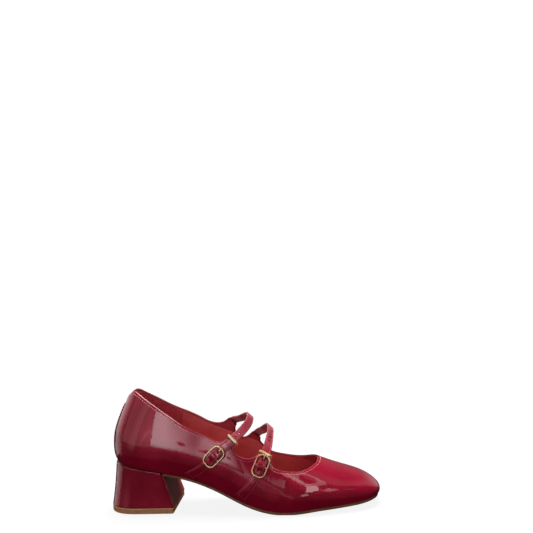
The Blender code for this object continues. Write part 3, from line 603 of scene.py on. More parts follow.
def headings(route):
    """Unit direction at each point of an open route."""
    route = np.asarray(route)
    gaps = np.concatenate((route[1:2] - route[:1], route[2:] - route[:-2],
                           route[-1:] - route[-2:-1]))
    return gaps / np.linalg.norm(gaps, axis=1)[:, None]


def circle(centre, side, top, sides):
    """Ring of points about a centre, whose two radii are vectors."""
    angles = [2 * math.pi * k / sides for k in range(sides)]
    return [centre + side * math.cos(angle) + top * math.sin(angle) for angle in angles]


def tube(route, radius, up, closed=False, flatten=1.0):
    """Points and faces of a round wire along a route, its ends rounded."""
    ways = headings([route[-1], *route, route[0]])[1:-1] if closed else headings(route)
    frames = []
    for point, ahead in zip(route, ways):
        side = unit(np.cross(ahead, up))
        frames.append((point, radius, ahead, side, unit(np.cross(side, ahead))))
    if not closed:
        for place, way in ((0, -1), (-1, 1)):
            point, _, ahead, side, top = frames[place]
            for across, along in map(cos_sin, END_ANGLES):
                end = (point + ahead * way * radius * along, radius * across, ahead, side, top)
                frames.insert(place if place == 0 else len(frames), end)
    rings = [circle(point, side * size, top * size * flatten, WIRE_SIDES)
             for point, size, _, side, top in frames]
    return loft(rings, closed=closed)


def stitches(path, pitch, length, lift):
    """Short threads along rows of point and normal."""
    spots = []
    travel = due = 0.0
    for a, b in zip(path, path[1:]):
        step = np.linalg.norm(b[:3] - a[:3])
        while step > 0 and due <= travel + step:
            spots.append(a + (b - a) * (due - travel) / step)
            due += pitch / 4
        travel += step
    parts = []
    for i in range(2, len(spots) - 2, 4):
        point, normal = spots[i][:3], unit(spots[i][3:])
        ahead = spots[i + 1][:3] - spots[i - 1][:3]
        if np.linalg.norm(ahead) < 1e-6:
            continue
        ahead = unit(ahead)
        side = unit(np.cross(ahead, normal))
        rings = []
        for share, height, size in STITCH_SHAPE:
            centre = point + ahead * (length / 2) * share + normal * (lift * height)
            radius = THREAD_RADIUS * size
            rings.append(circle(centre, side * radius, normal * radius, STITCH_SIDES))
        parts.append(loft(rings))
    return merge(parts)


# ---------------------------------------------------------------- materials

SOCKETS = {"rough": "Roughness", "metallic": "Metallic", "coat": "Coat Weight",
           "specular": "Specular IOR Level", "sheen": "Sheen Weight"}


def srgb(red, green, blue):
    """A display colour from 0 to 255 as the linear colour that a shader takes."""
    shares = [level / 255 for level in (red, green, blue)]
    return (*(share / 12.92 if share <= 0.04045 else ((share + 0.055) / 1.055) ** 2.4
              for share in shares), 1.0)


class Nodes:
    """Short calls for the nodes of a material or of the surround."""

    def __init__(self, tree):
        self.tree = tree

    def feed(self, socket, value):
        """Link a node's output to a socket, or set the socket to a plain value."""
        if isinstance(value, bpy.types.NodeSocket):
            self.tree.links.new(value, socket)
        else:
            socket.default_value = value

    def add(self, kind, output, inputs, **settings):
        """One output of a new node with these settings and inputs."""
        node = self.tree.nodes.new("ShaderNode" + kind)
        for key, value in settings.items():
            setattr(node, key, value)
        for key, value in inputs.items():
            self.feed(node.inputs[key], value)
        return node.outputs[output]

    def math(self, operation, *values):
        """Numbers joined by an operation."""
        return self.add("Math", "Value", dict(enumerate(values)), operation=operation)

    def times(self, first, *others):
        """The product of numbers."""
        for other in others:
            first = self.math("MULTIPLY", first, other)
        return first

    def between(self, value, low, high, start=0.0, end=1.0, kind="LINEAR"):
        """A number carried from one range to another, held at its ends."""
        return self.add("MapRange", "Result", {"Value": value, "From Min": low, "From Max": high,
                                               "To Min": start, "To Max": end},
                        interpolation_type=kind)

    def ramp(self, value, start, end, top=1.0):
        """A soft rise from 0 to top."""
        return self.between(value, start, end, 0.0, top, "SMOOTHSTEP")

    def length(self, vector):
        """Length of a vector."""
        return self.add("VectorMath", "Value", {0: vector}, operation="LENGTH")


class Finish(Nodes):
    """A Principled material that is painted over in layers, each with its share."""

    def __init__(self, name, **looks):
        self.material = bpy.data.materials.new(name)
        self.material.use_nodes = True
        super().__init__(self.material.node_tree)
        self.shader = self.tree.nodes["Principled BSDF"]
        self.place = self.add("TexCoord", "Object", {})
        for key, value in looks.items():
            self.shader.inputs[SOCKETS[key]].default_value = value

    def paint(self, colour, share=None):
        """Cover the surface, or a share of it that a node gives, with a colour."""
        if share is not None:
            colour = self.add("Mix", 2, {"Factor": share, 6: self.base, 7: colour},
                              data_type="RGBA")
        self.base = colour
        self.feed(self.shader.inputs["Base Color"], colour)

    def stretched(self, scale):
        """Place on the shoe in metres, scaled along each axis."""
        return self.add("Mapping", "Vector", {"Vector": self.place, "Scale": scale})

    def along(self, axis):
        """Place on the shoe along one axis in metres."""
        return self.add("SeparateXYZ", axis, {"Vector": self.place})

    def noise(self, size, detail=2.0, roughness=0.5, stretch=None):
        """Noise from 0 to 1 with features of a size in millimetres."""
        place = self.stretched(stretch) if stretch else self.place
        return self.add("TexNoise", "Fac", {"Vector": place, "Scale": 1 / (size * MM),
                                            "Detail": detail, "Roughness": roughness})

    def value(self, name):
        """A number stored on the mesh."""
        return self.add("Attribute", "Fac", {}, attribute_name=name)

    def roughness(self, value):
        """Set the roughness."""
        self.feed(self.shader.inputs["Roughness"], value)

    def bump(self, height, depth, **inputs):
        """A bump whose height of 1 stands for a depth in millimetres."""
        normal = self.add("Bump", "Normal", {"Strength": 1.0, "Distance": depth * MM,
                                             "Height": height, **inputs})
        self.feed(self.shader.inputs["Normal"], normal)
        return normal

    def surface(self, output):
        """Show this shader output."""
        self.feed(self.tree.nodes["Material Output"].inputs["Surface"], output)


SEAT_SHADE = srgb(58, 8, 24)     # along the seam between the upper and the heel
STRAP_HIGHLIGHT = srgb(186, 92, 106)       # painted highlight on the tops of the straps
FILM_WAVE = 0.014                # height of the film's ripples in millimetres
FILM_GRAIN = 0.006
PEBBLING = 38.0                  # weight of the pebbles at the very back, 1 for the ripples
# Stretches of the shoe in metres over which a finish changes.
OUTER_SIDE = (0.004, -0.004)
INNER_SIDE = (0.004, 0.010)
BACK_SEAM = (-0.104, -0.116)     # where the film turns pebbly
RIM_HIGHLIGHT_FROM = (-0.098, -0.093)     # where the painted highlight on the topline's edge begins, and ends again
RIM_HIGHLIGHT_TO = (-0.062, -0.050)
STRAP_HIGHLIGHT_HEIGHT = (0.054, 0.062)   # where the painted highlight on the straps begins
UNDER_STRAP = (-0.034, -0.028)   # where the lining turns wine red
# painted shade: the lining darkens towards the toe, deep inside the toe box
TOE_BOX_SHADE = (0.030, 0.062)
THREAD_SHADE_FROM = (-0.052, -0.036)     # where painted shade darkens the thread, and where it turns bright again
THREAD_SHADE_TO = (0.022, 0.030)
WINE_SLOPE = 0.44                # fall of the fold line of the lining along the shoe
WINE_EDGE = 0.0549               # height of that line at the middle of the shoe, in metres
WINE_LINE = 0.0004               # half width of the pale line along it
LINING_EDGE = srgb(112, 22, 38)
THREAD_SHADE = srgb(150, 30, 54)


def patent_finish(name, top_highlight=0.0):
    """Patent leather: a pearly red base under a clear, slightly wavy film.

    top_highlight is the share of a painted highlight, a paler red high over the instep.
    """
    made = Finish(name, metallic=0.3, coat=1.0, specular=0.1)
    cloud = made.noise(17.0, 3.0, 0.55)
    made.paint(srgb(138, 5, 37))
    made.paint(srgb(152, 8, 43), made.between(cloud, 0.36, 0.66))
    made.paint(srgb(138, 5, 37), made.between(made.noise(1.1, 4.0, 0.6), 0.35, 0.75, 0.0, 0.18))
    # painted highlight: a pale line along the outer topline's edge, strongest towards the back
    outer = made.between(made.along("Y"), *OUTER_SIDE)
    rear = made.times(made.between(made.along("X"), *RIM_HIGHLIGHT_FROM),
                      made.between(made.along("X"), *RIM_HIGHLIGHT_TO, 0.95, 0.10))
    rim_highlight = made.between(made.value("edge_mm"), 0.05, 0.40, 1.0, 0.0)
    made.paint(srgb(230, 170, 176), made.times(rim_highlight, made.times(outer, rear)))
    # painted shade in the recess where the upper meets the heel
    made.paint(SEAT_SHADE, made.times(made.value("seat_shade_painted"), 0.75))
    # painted highlight: the straps turn paler red high over the instep
    if top_highlight:
        made.paint(STRAP_HIGHLIGHT, made.between(made.along("Z"), *STRAP_HIGHLIGHT_HEIGHT, 0.0, top_highlight))
    ripples = made.math("ADD", made.noise(2.1, 1.0, 0.4), made.noise(6.0, 1.0, 0.4))
    at_back = made.between(made.along("X"), *BACK_SEAM, 0.0, PEBBLING)
    pebbles = made.noise(2.4, 2.0, 0.6, stretch=(1.0, 0.35, 0.6))
    film = made.bump(made.math("ADD", ripples, made.times(pebbles, at_back)), FILM_WAVE)
    made.feed(made.shader.inputs["Coat Normal"], film)
    made.bump(made.noise(0.45), FILM_GRAIN, Normal=film)
    made.roughness(made.between(cloud, 0.3, 0.7, 0.21, 0.3))
    return made


def leather_finish(name, deep, bright, grain_size, depth, roughness=0.55):
    """Plain smooth leather with pores and creases."""
    made = Finish(name, specular=0.35)
    made.paint(deep)
    made.paint(bright, made.between(made.noise(12.0, 4.0, 0.6), 0.32, 0.7))
    pores = made.add("TexVoronoi", "Distance", {"Vector": made.place,
                                                "Scale": 1 / (grain_size * MM)},
                     feature="DISTANCE_TO_EDGE")
    made.paint(deep, made.between(pores, 0.0, 0.18, 0.35, 0.0))
    made.roughness(made.between(made.noise(3.0, 3.0, 0.6), 0.3, 0.7, roughness - 0.08,
                                roughness + 0.1))
    creases = made.noise(0.25, 3.0, 0.6)
    made.bump(made.math("ADD", made.between(pores, 0.0, 0.3), creases), depth)
    return made


def lining_finish(name, deep, bright, wine):
    """Lining leather, dark at its edge, with painted shade in the toe box, wine red where the
    strap leaves.
    """
    made = leather_finish(name, deep, bright, 0.8, 0.03)
    fold = made.math("ADD", made.times(made.along("X"), WINE_SLOPE), made.along("Z"))
    inner = made.times(made.between(made.along("Y"), *INNER_SIDE),
                       made.between(made.along("X"), *UNDER_STRAP))
    above = made.between(fold, WINE_EDGE, WINE_EDGE + WINE_LINE)
    made.paint(wine, made.times(above, inner))
    line = made.times(made.between(fold, WINE_EDGE - 2 * WINE_LINE, WINE_EDGE - WINE_LINE),
                      made.between(fold, WINE_EDGE, WINE_EDGE + WINE_LINE, 1.0, 0.0))
    made.paint(bright, made.times(line, inner))
    # painted shade deep inside the toe box
    made.paint(wine, made.between(made.along("X"), *TOE_BOX_SHADE, 0.0, 0.75))
    made.paint(LINING_EDGE, made.between(made.value("edge_mm"), 0.5, 1.6, 0.9, 0.0))
    return made


def suede_finish(name, deep, bright):
    """Napped leather."""
    made = Finish(name, rough=0.92, specular=0.2, sheen=0.35)
    nap = made.noise(0.5, 5.0, 0.7)
    made.paint(deep)
    made.paint(bright, made.between(made.noise(9.0, 3.0, 0.6), 0.35, 0.65))
    made.paint(deep, made.between(nap, 0.3, 0.7, 0.3, 0.0))
    made.bump(nap, 0.10)
    return made


def breast_finish(name):
    """Burnished sole leather with streaks that run down."""
    made = Finish(name, specular=0.25)
    lines = made.noise(1.0, 4.0, 0.65, stretch=(0.35, 1.0, 0.06))
    broad = made.noise(6.0, stretch=(0.5, 1.0, 0.15))
    made.paint(srgb(126, 38, 42))
    made.paint(srgb(146, 56, 54), made.between(broad, 0.35, 0.65))
    made.paint(srgb(172, 102, 84), made.between(lines, 0.52, 0.72, 0.0, 0.7))
    made.roughness(made.between(lines, 0.3, 0.7, 0.53, 0.35))
    made.bump(lines, 0.06)
    return made


def lift_finish(name):
    """Wear layer of the heel: fine stipple and a pale line at its upper edge."""
    made = Finish(name, rough=0.6, specular=0.3)
    grit = made.noise(0.5, 4.0, 0.6)
    broad = made.noise(5.0, 3.0, 0.6, stretch=(1.0, 1.0, 3.0))
    made.paint(srgb(158, 104, 70))
    made.paint(srgb(186, 130, 90), made.between(broad, 0.3, 0.7))
    made.paint(srgb(158, 104, 70), made.between(grit, 0.4, 0.75, 0.0, 0.4))
    made.paint(srgb(218, 172, 128), made.between(made.value("edge_mm"), 0.15, 0.75, 1.0, 0.0))
    made.bump(grit, 0.06)
    return made


def gold_finish(name):
    """Pale gold plating, brushed by handling."""
    made = Finish(name, metallic=0.7)
    made.paint(srgb(246, 196, 142))
    made.paint(srgb(255, 220, 176), made.between(made.noise(2.5, 3.0, 0.6), 0.3, 0.7))
    scratches = made.noise(0.35, 3.0, 0.6, stretch=(0.2, 1.0, 1.0))
    made.roughness(made.between(scratches, 0.35, 0.75, 0.16, 0.3))
    made.bump(scratches, 0.008)
    return made


def thread_finish(name, deep, bright):
    """Twisted sewing thread, with painted shade darkening it between the straps."""
    made = Finish(name, specular=0.4, sheen=0.2)
    twist = made.noise(0.3)
    made.paint(deep)
    made.paint(bright, made.between(twist, 0.35, 0.65))
    # painted shade on the thread between the straps
    made.paint(THREAD_SHADE, made.times(made.between(made.along("X"), *THREAD_SHADE_FROM),
                                       made.between(made.along("X"), *THREAD_SHADE_TO, 0.85, 0.0)))
    made.bump(twist, 0.05)
    return made


PATENT = patent_finish("patent_leather")
STRAP_PATENT = patent_finish("strap_patent_leather", 0.42)
LINING = lining_finish("lining_leather", srgb(186, 92, 95), srgb(206, 112, 113),
                       srgb(150, 52, 62))
SOCK = leather_finish("sock_leather", srgb(148, 54, 56), srgb(168, 68, 68), 1.0, 0.04)
GRIP = suede_finish("heel_grip_suede", srgb(172, 74, 86), srgb(190, 88, 98))
BACKING = suede_finish("strap_backing", srgb(120, 26, 36), srgb(148, 40, 48))
SOLE = leather_finish("sole_leather", srgb(104, 66, 46), srgb(136, 92, 64), 0.7, 0.04, 0.5)
BREAST = breast_finish("breast_leather")
LIFT = lift_finish("top_lift_rubber")
GOLD = gold_finish("pale_gold")
THREAD = thread_finish("red_thread", srgb(214, 112, 118), srgb(236, 156, 158))
CHAPE_THREAD = thread_finish("dark_red_thread", srgb(122, 20, 40), srgb(146, 38, 54))
RAW_EDGE = leather_finish("cut_edge", srgb(70, 14, 20), srgb(96, 24, 30), 0.4, 0.03)


# ---------------------------------------------------------------- upper

PATENT_WALL = 1.0
EDGE_ROLL = 0.5              # how far the patent's folded edge stands out
CUT_ROLL = 0.15              # and that of a cut edge
STITCH_INSET = 2.3           # from the topline
STITCH_PITCH = 2.5
STITCH_LENGTH = 1.8
STITCH_LIFT = 0.1
SEAM_HEIGHT = 2.4            # painted shade darkens the upper below this height above the heel
SEAM_FADE = 1.6
SEAM_PAST_HEEL = 2.0         # ahead of the heel's breast
INSET_TRIM = 0.96            # an inset point nearer than this share of its distance is dropped
GRIP_FRONT_X = 64.0
GRIP_INSET = 0.9
GRIP_THICKNESS = 0.35
GRIP_SNAP = 0.3              # edge points nearer to the back seam than this are left out
CLOSE_GAP = 0.02             # between the upper and what is sewn on it
STRIP_HALF_WIDTH = 5.0
STRIP_THICKNESS = 0.7
STRIP_ROLL = 0.3
STRIP_TOP_DROP = 4.0         # below the topline
STRIP_STITCH_INSET = 1.1
STRIP_STITCH_DROP = 1.0      # below the strip's top

# Soft troughs of the upper, each along a line on one side.
Crease = namedtuple("Crease", "side x z end_x end_z width depth")
CREASES = (
    Crease(LATERAL, 88.0, 63.0, 94.0, 58.0, 11.0, 0.4),
    Crease(LATERAL, 158.0, 10.0, 166.0, 24.0, 3.5, 0.10),
    Crease(MEDIAL, 86.0, 64.0, 93.0, 58.0, 10.0, 0.35),
    Crease(MEDIAL, 60.0, 60.5, 66.0, 59.5, 2.5, 0.10),
    Crease(MEDIAL, 158.0, 10.0, 166.0, 24.0, 4.0, 0.14),
    Crease(MEDIAL, 168.0, 12.0, 174.0, 24.0, 3.5, 0.10),
)


def trough_depth(points):
    """How far the creases lower each point of the upper."""
    depth = np.zeros(len(points))
    for crease in CREASES:
        start = np.array((crease.x, crease.z))
        line = np.array((crease.end_x, crease.end_z)) - start
        way = points[:, (0, 2)] - start
        share = np.clip(way @ line / (line @ line), 0, 1)[:, None]
        gap = np.linalg.norm(way - share * line, axis=1)
        here = points[:, 1] * crease.side > 0
        depth += here * crease.depth * np.exp(-(gap / crease.width) ** 2)
    return depth[:, None]


def inset_line(distance, spacing):
    """Line inside the topline at a distance over the surface, on the flattened sheet."""
    loop = np.array(topline_loop(spacing))
    points, normals = surface(loop)
    ahead = np.roll(points, -1, axis=0) - np.roll(points, 1, axis=0)
    ahead[0] = ahead[-1] = points[1] - points[-2]
    inward = np.cross(normals, ahead)
    targets = points + inward / np.linalg.norm(inward, axis=1)[:, None] * distance
    gaps = np.linalg.norm(targets[:, None, :] - points[None, :, :], axis=2).min(axis=1)
    clear = gaps > INSET_TRIM * distance
    return nearest(loop[clear], targets[clear])


def add_upper():
    """Patent outer and leather lining, each a closed thin shell."""
    sheet = sheet_over([border_outline()])
    distance = distances(sheet.points, surface(np.array(topline_loop(FINE / 2)))[0])
    sheet = sheet._replace(points=sheet.points - sheet.normals * trough_depth(sheet.points))
    *skin, source = shell(sheet, 0.0, -PATENT_WALL, EDGE_ROLL)
    rise = skin[0][:, 2] - LAST_AT["sole"](skin[0][:, 0])
    over_heel = skin[0][:, 0] < HEEL_TOP_X + SEAM_PAST_HEEL
    # share of the painted shade along the seam with the heel
    seam = np.clip((SEAM_HEIGHT - rise) / SEAM_FADE, 0, 1) * over_heel
    piece("upper_patent", skin, [PATENT], ["upper"],
          values={"edge_mm": distance[source], "seat_shade_painted": seam})
    *skin, source = shell(sheet, -PATENT_WALL - TOUCH_GAP, -UPPER_WALL, CUT_ROLL)
    piece("upper_lining", skin, [LINING],
          values={"edge_mm": distance[source]})


def add_heel_grip():
    """Napped patch that lines the back of the upper."""
    line = inset_line(GRIP_INSET, FINE)
    outlines = []
    for side in (LATERAL, MEDIAL):
        edge = sorted((place for place in line if place[1] * side > 0
                       and surface(place[None])[0][0, 0] < GRIP_FRONT_X),
                      key=lambda place: place[0])
        outline = [np.array((0.0, edge[0][1]))]
        outline += [place for place in edge if place[0] > GRIP_SNAP]
        corners = [edge[-1], np.array((edge[-1][0], side * BOTTOM)),
                   np.array((0.0, side * BOTTOM)), outline[0]]
        for start, end in zip(corners, corners[1:]):
            outline += [*steps_between(start, end, int(np.linalg.norm(end - start) / FINE)), end]
        outlines.append(np.array(outline[:-1]))
    face = -UPPER_WALL - CLOSE_GAP
    *skin, _ = shell(sheet_over(outlines), face, -UPPER_WALL - GRIP_THICKNESS, CUT_ROLL)
    piece("heel_grip", skin, [GRIP])


def strip_outline(side, half_width, top_drop):
    """Half of the back strip on the flattened sheet, and its outer edge."""
    top = abs(topline_loop(FINE)[0][1]) + top_drop
    rows = int((BOTTOM - top) / FINE)
    edge = []
    for i in range(rows + 1):
        level = top + (BOTTOM - top) * i / rows
        run = bisect(0.0, HEEL_RUN, lambda run: abs(
            last_at(station_of(run), level / TURN_SCALE)[1]) < half_width)
        edge.append(np.array((run, side * level)))
    centre = [np.array((0.0, place[1])) for place in edge]
    across = max(2, int(edge[-1][0] / FINE))
    lower = steps_between(edge[-1], centre[-1], across)
    return np.array(edge + lower + centre[::-1] + steps_between(centre[0], edge[0], across)), edge


def add_back_strip():
    """Strip over the back seam, with a stitch row along each edge."""
    halves = [strip_outline(side, STRIP_HALF_WIDTH, STRIP_TOP_DROP) for side in (LATERAL, MEDIAL)]
    sheet = sheet_over([outline for outline, _ in halves])
    *skin, source = shell(sheet, STRIP_THICKNESS, CLOSE_GAP, STRIP_ROLL)
    rim = np.concatenate([surface(np.array(edge))[0] for _, edge in halves])
    piece("back_strip", skin, [PATENT],
          values={"edge_mm": distances(sheet.points, rim)[source]})
    for side, name in ((LATERAL, "outer"), (MEDIAL, "inner")):
        _, edge = strip_outline(side, STRIP_HALF_WIDTH - STRIP_STITCH_INSET,
                                STRIP_TOP_DROP + STRIP_STITCH_DROP)
        add_thread_row("back_strip_stitches_" + name, np.array(edge), STRIP_THICKNESS)


def add_thread_row(name, places, height):
    """A stitch row over places on the flattened sheet."""
    points, normals = surface(places)
    rows = np.concatenate((points + normals * height, normals), axis=1)
    piece(name, stitches(rows, STITCH_PITCH, STITCH_LENGTH, STITCH_LIFT), [THREAD])


# ---------------------------------------------------------------- sole, sock and heel

SOLE_START_X = 50.0          # just clear of the heel breast
SHANK_X = 70.0               # the outsole thickens from here
BALL_X = 130.0               # to here
SOLE_INSET = 1.0             # outsole edge inside the feather edge
SOLE_ROUNDS = (0.8, 0.25)    # roundness of its lower and its upper edge
SOLE_RINGS = 130
SOCK_RINGS = 120
SOCK_INSET = UPPER_WALL + 0.3
SOCK_LIFT = 0.1              # above the feather edge
SOCK_ROUNDS = (0.3, 0.5)
SOCK_DISH = 0.7              # how far its rim curls up
HEEL_TOP_X = 48.9            # breast at the seat
HEEL_BOTTOM_X = 58.9         # breast at the top lift
HEEL_BACK_X = -1.5           # back of the top lift
HEEL_SEAT_BACK_X = 2.9       # back of the heel at the seat, a ledge past the upper
HEEL_HALF_WIDTH = 28.2
SEAT_HALF_WIDTH = 26.3
HEEL_ROUND_X = 27.0          # where the plan of the top lift starts to round
HEEL_ROUND_POWER = 2.5
HEEL_HOLLOW = 0.5            # how far the sides curve in between seat and top lift
HEEL_LEVELS = 40
# Eased edges of the heel: share of the way up, and how far the plan moves inwards there.
HEEL_EASE_LOW = ((0.0, 0.5), (0.004, 0.2), (0.012, 0.0))
HEEL_EASE_HIGH = ((0.982, 0.1), (0.991, 0.35), (0.997, 0.7), (1.0, 1.2))
HEEL_CORNER = 1.6            # radius of the corners beside the breast
CLEAR_OF_EDGES = 4.0         # edge distance that shows no painted highlight along the edge
HEEL_ARC_POINTS = 44
FLAP_INSET = 1.4             # breast flap inside the heel's sides
FLAP_THICKNESS = 0.5
FLAP_ROUNDS = (0.1, 0.4)     # roundness of its lower and its upper edges
FLAP_START_X = 56.0
FLAP_REACH = 6.0             # how far it reaches under the sole
FLAP_CORNER = 0.9            # the flap turns down this far ahead of the breast
FLAP_FILLET = 2.0
FLAP_UNDER_SOLE = 5          # sections of the flap that lie under the sole
# Top lift: height of each ring, and how far the plan moves inwards there.
LIFT_LEVELS = ((0.0, 0.45), (0.13, 0.13), (0.45, 0.0), (1.5, 0.0), (3.0, 0.0),
               (LIFT_HEIGHT - 0.9, 0.0), (LIFT_HEIGHT - 0.3, 0.0), (LIFT_HEIGHT, 0.2))


def feather_y(station, side, inset):
    """Sideways place of the feather edge, moved inwards."""
    y = float(last_at(station, side * 90.0)[1])
    return y - side * min(inset, abs(y - float(ridge_y(station))))


def edge_stations(start, count, inset):
    """Stations from start to the toe, and the x that each gets when the edge moves inwards."""
    stations = station_of(np.linspace(float(run_of(start)), RUN_END, count))
    fixed, reach = start, TOE_X - start
    if start < HEEL_START:
        fixed, reach = (BACK_X + TOE_X) / 2, (TOE_X - BACK_X) / 2
    return [(s, fixed + (s - fixed) * (reach - inset) / reach) for s in stations]


def sole_line(x):
    """Height of the feather edge."""
    return float(LAST_AT["sole"](x))


def sole_bottom(x):
    """Underside of the outsole, flat on the floor under the ball."""
    share = share_of(x, SHANK_X, BALL_X)
    thickness = SHANK_THICKNESS + (SOLE_THICKNESS - SHANK_THICKNESS) * share
    return max(0.0, sole_line(x) - GAP - thickness)


def rounded_section(outer, inner, low, high, low_round, high_round):
    """Ring across a flat piece with rounded edges, from the outer top edge down and round."""
    low_round, high_round = (min(size, (inner - outer) / 2.1) for size in (low_round, high_round))
    half = [(high_round * (1 - sine), high - high_round * (1 - cosine))
            for cosine, sine in map(cos_sin, EDGE_ARC)]
    half += [(low_round * (1 - cosine), low + low_round * (1 - sine))
             for cosine, sine in map(cos_sin, EDGE_ARC)]
    flat_part = [outer + (inner - outer) * i / 12 for i in range(2, 11)]
    return ([(outer + y, z) for y, z in half] + [(y, low) for y in flat_part]
            + [(inner - y, z) for y, z in half[::-1]] + [(y, high) for y in flat_part[::-1]])


def feather_layer(start, count, inset, low_at, high_at, rounds, dish=0.0):
    """Skin and edge distances of a layer that fills the feather edge from start to the toe."""
    rings = []
    edges = []
    for station, x in edge_stations(start, count, inset):
        outer, inner = (feather_y(station, side, inset) for side in (LATERAL, MEDIAL))
        low = low_at(x)
        ring = []
        for y, z in rounded_section(outer, inner, low, high_at(x), *rounds):
            share = (y - outer) / max(inner - outer, 1e-6)
            curl = dish * (2 * share - 1) ** 4 if z > low + 1 else 0.0
            ring.append((x, y, z + curl))
            edges.append(min(y - outer, inner - y))
        rings.append(ring)
    return solid(rings), edges


def add_outsole():
    """Thin leather sole from the heel breast to the toe."""
    skin, edges = feather_layer(SOLE_START_X, SOLE_RINGS, SOLE_INSET, sole_bottom,
                                lambda x: sole_line(x) - TOUCH_GAP, SOLE_ROUNDS)
    piece("outsole_leather", skin, [SOLE], ["outsole"],
          values={"edge_mm": edges})


def add_sock():
    """Leather sock over the insole board, slightly dished."""
    skin, edges = feather_layer(BACK_X, SOCK_RINGS, SOCK_INSET,
                                lambda x: sole_line(x) + SOCK_LIFT,
                                lambda x: sole_line(x) + SOCK_LIFT + INSOLE_THICKNESS,
                                SOCK_ROUNDS, SOCK_DISH)
    piece("insole_sock", skin, [SOCK], ["insole"], values={"edge_mm": edges})


def heel_half_width(share):
    """Half width of the heel at a share of the way up, and the hollow taken off it."""
    hollow = HEEL_HOLLOW * 4 * share * (1 - share)
    return HEEL_HALF_WIDTH + (SEAT_HALF_WIDTH - HEEL_HALF_WIDTH) * share - hollow, hollow


def heel_plan(share, inset=0.0):
    """Closed plan of the heel at a share of the way up, corners rounded, moved inwards."""
    half_width, hollow = heel_half_width(share)
    half_width -= inset
    back = HEEL_BACK_X + (HEEL_SEAT_BACK_X - HEEL_BACK_X) * share + hollow + inset
    front = HEEL_BOTTOM_X + (HEEL_TOP_X - HEEL_BOTTOM_X) * share - inset
    round_x = HEEL_ROUND_X + (HEEL_START - HEEL_ROUND_X) * share
    power = HEEL_ROUND_POWER + (HEEL_POWER - HEEL_ROUND_POWER) * share
    half = [(front, half_width * i / 8) for i in range(8)]
    for cosine, sine in map(cos_sin, EDGE_ARC):
        half.append((front - HEEL_CORNER * (1 - cosine), half_width - HEEL_CORNER * (1 - sine)))
    half += [(x, half_width) for x in steps_between(front - HEEL_CORNER, round_x, 6)]
    for i in range(HEEL_ARC_POINTS + 1):
        cosine, sine = cos_sin(90 * i / HEEL_ARC_POINTS)
        x = round_x - (round_x - back) * sine ** (2 / power)
        half.append((x, half_width * max(cosine, 0.0) ** (2 / power)))
    return [(x, -y) for x, y in half] + [(x, y) for x, y in half[-2:0:-1]]


def add_heel():
    """Flared block heel covered in patent leather, its upper and lower edges eased."""
    low = LIFT_HEIGHT + TOUCH_GAP
    straight = [(i / HEEL_LEVELS, 0.0) for i in range(1, HEEL_LEVELS)]
    levels = (*HEEL_EASE_LOW, *straight, *HEEL_EASE_HIGH)
    skin = solid([[(x, y, low + (sole_line(x) - TOUCH_GAP - low) * share)
                   for x, y in heel_plan(share, inset)] for share, inset in levels], ladder=True)
    piece("heel_cover", skin, [PATENT], ["heel"],
          values={"edge_mm": [CLEAR_OF_EDGES] * len(skin[0])})


def add_breast_flap():
    """Sole leather turned down over the heel breast."""
    corner_x = HEEL_TOP_X + FLAP_CORNER
    corner = np.array((corner_x, 0.0, sole_bottom(corner_x)))
    ahead = unit(np.array((FLAP_START_X, 0.0, sole_bottom(FLAP_START_X))) - corner)
    foot = np.array((HEEL_BOTTOM_X, 0.0, LIFT_HEIGHT + GAP))
    down = unit(foot - corner)
    drop = np.linalg.norm(foot - corner)
    route = [corner + ahead * reach
             for reach in np.linspace(FLAP_REACH, FLAP_FILLET, FLAP_UNDER_SOLE)]
    for t in np.linspace(0, 1, 8)[1:-1]:
        route.append(corner + ahead * FLAP_FILLET * (1 - t) ** 2 + down * FLAP_FILLET * t ** 2)
    route += [corner + down * reach for reach in np.linspace(FLAP_FILLET, drop, 24)]
    rings = []
    edges = []
    for i, (point, along) in enumerate(zip(route, headings(route))):
        out = np.cross(along, (0.0, 1.0, 0.0))
        out = out if out[0] > 0 else -out
        half = heel_half_width(share_of(point[2], LIFT_HEIGHT, corner[2]))[0] - FLAP_INSET
        if i < FLAP_UNDER_SOLE:
            half = min(abs(feather_y(point[0], side, SOLE_INSET + GAP))
                       for side in (LATERAL, MEDIAL))
        section = rounded_section(-half, half, -GAP, FLAP_THICKNESS, *FLAP_ROUNDS)
        rings.append([point + out * h + np.array((0.0, y, 0.0)) for y, h in section])
        edges += [half - abs(y) for y, _ in section]
    piece("breast_flap", solid(rings), [BREAST], values={"edge_mm": edges})


def add_top_lift():
    """Wear layer under the heel, its edges eased."""
    skin = solid([[(x, y, z) for x, y in heel_plan(0.0, inset)] for z, inset in LIFT_LEVELS],
                 ladder=True)
    piece("top_lift_layer", skin, [LIFT], ["top_lift"],
          values={"edge_mm": LIFT_HEIGHT - skin[0][:, 2]})


# ---------------------------------------------------------------- straps and chapes

STRAP_WIDTH = 8.0
STRAP_THICKNESS = 1.6
CHAPE_WIDTH = 7.4
CHAPE_THICKNESS = 1.0
CHAPE_LIFT = 0.12
CHAPE_SPREAD = {"rear": 1.15, "front": 1.35}    # width of its sewn end, to that at the buckle

# Route of a ribbon's middle.  On the upper a knot is given by side, x and z, and lift is the
# space under the ribbon; between the tabs (side 0) it is a free point with the tilt in
# degrees of the ribbon's face towards the toe.
Knot = namedtuple("Knot", "side x y z lift tilt")


def on_upper(side, x, z, lift):
    """A knot on the upper."""
    return Knot(side, x, None, z, lift, None)


def free(x, y, z, tilt):
    """A knot between the tabs."""
    return Knot(0, x, y, z, None, tilt)


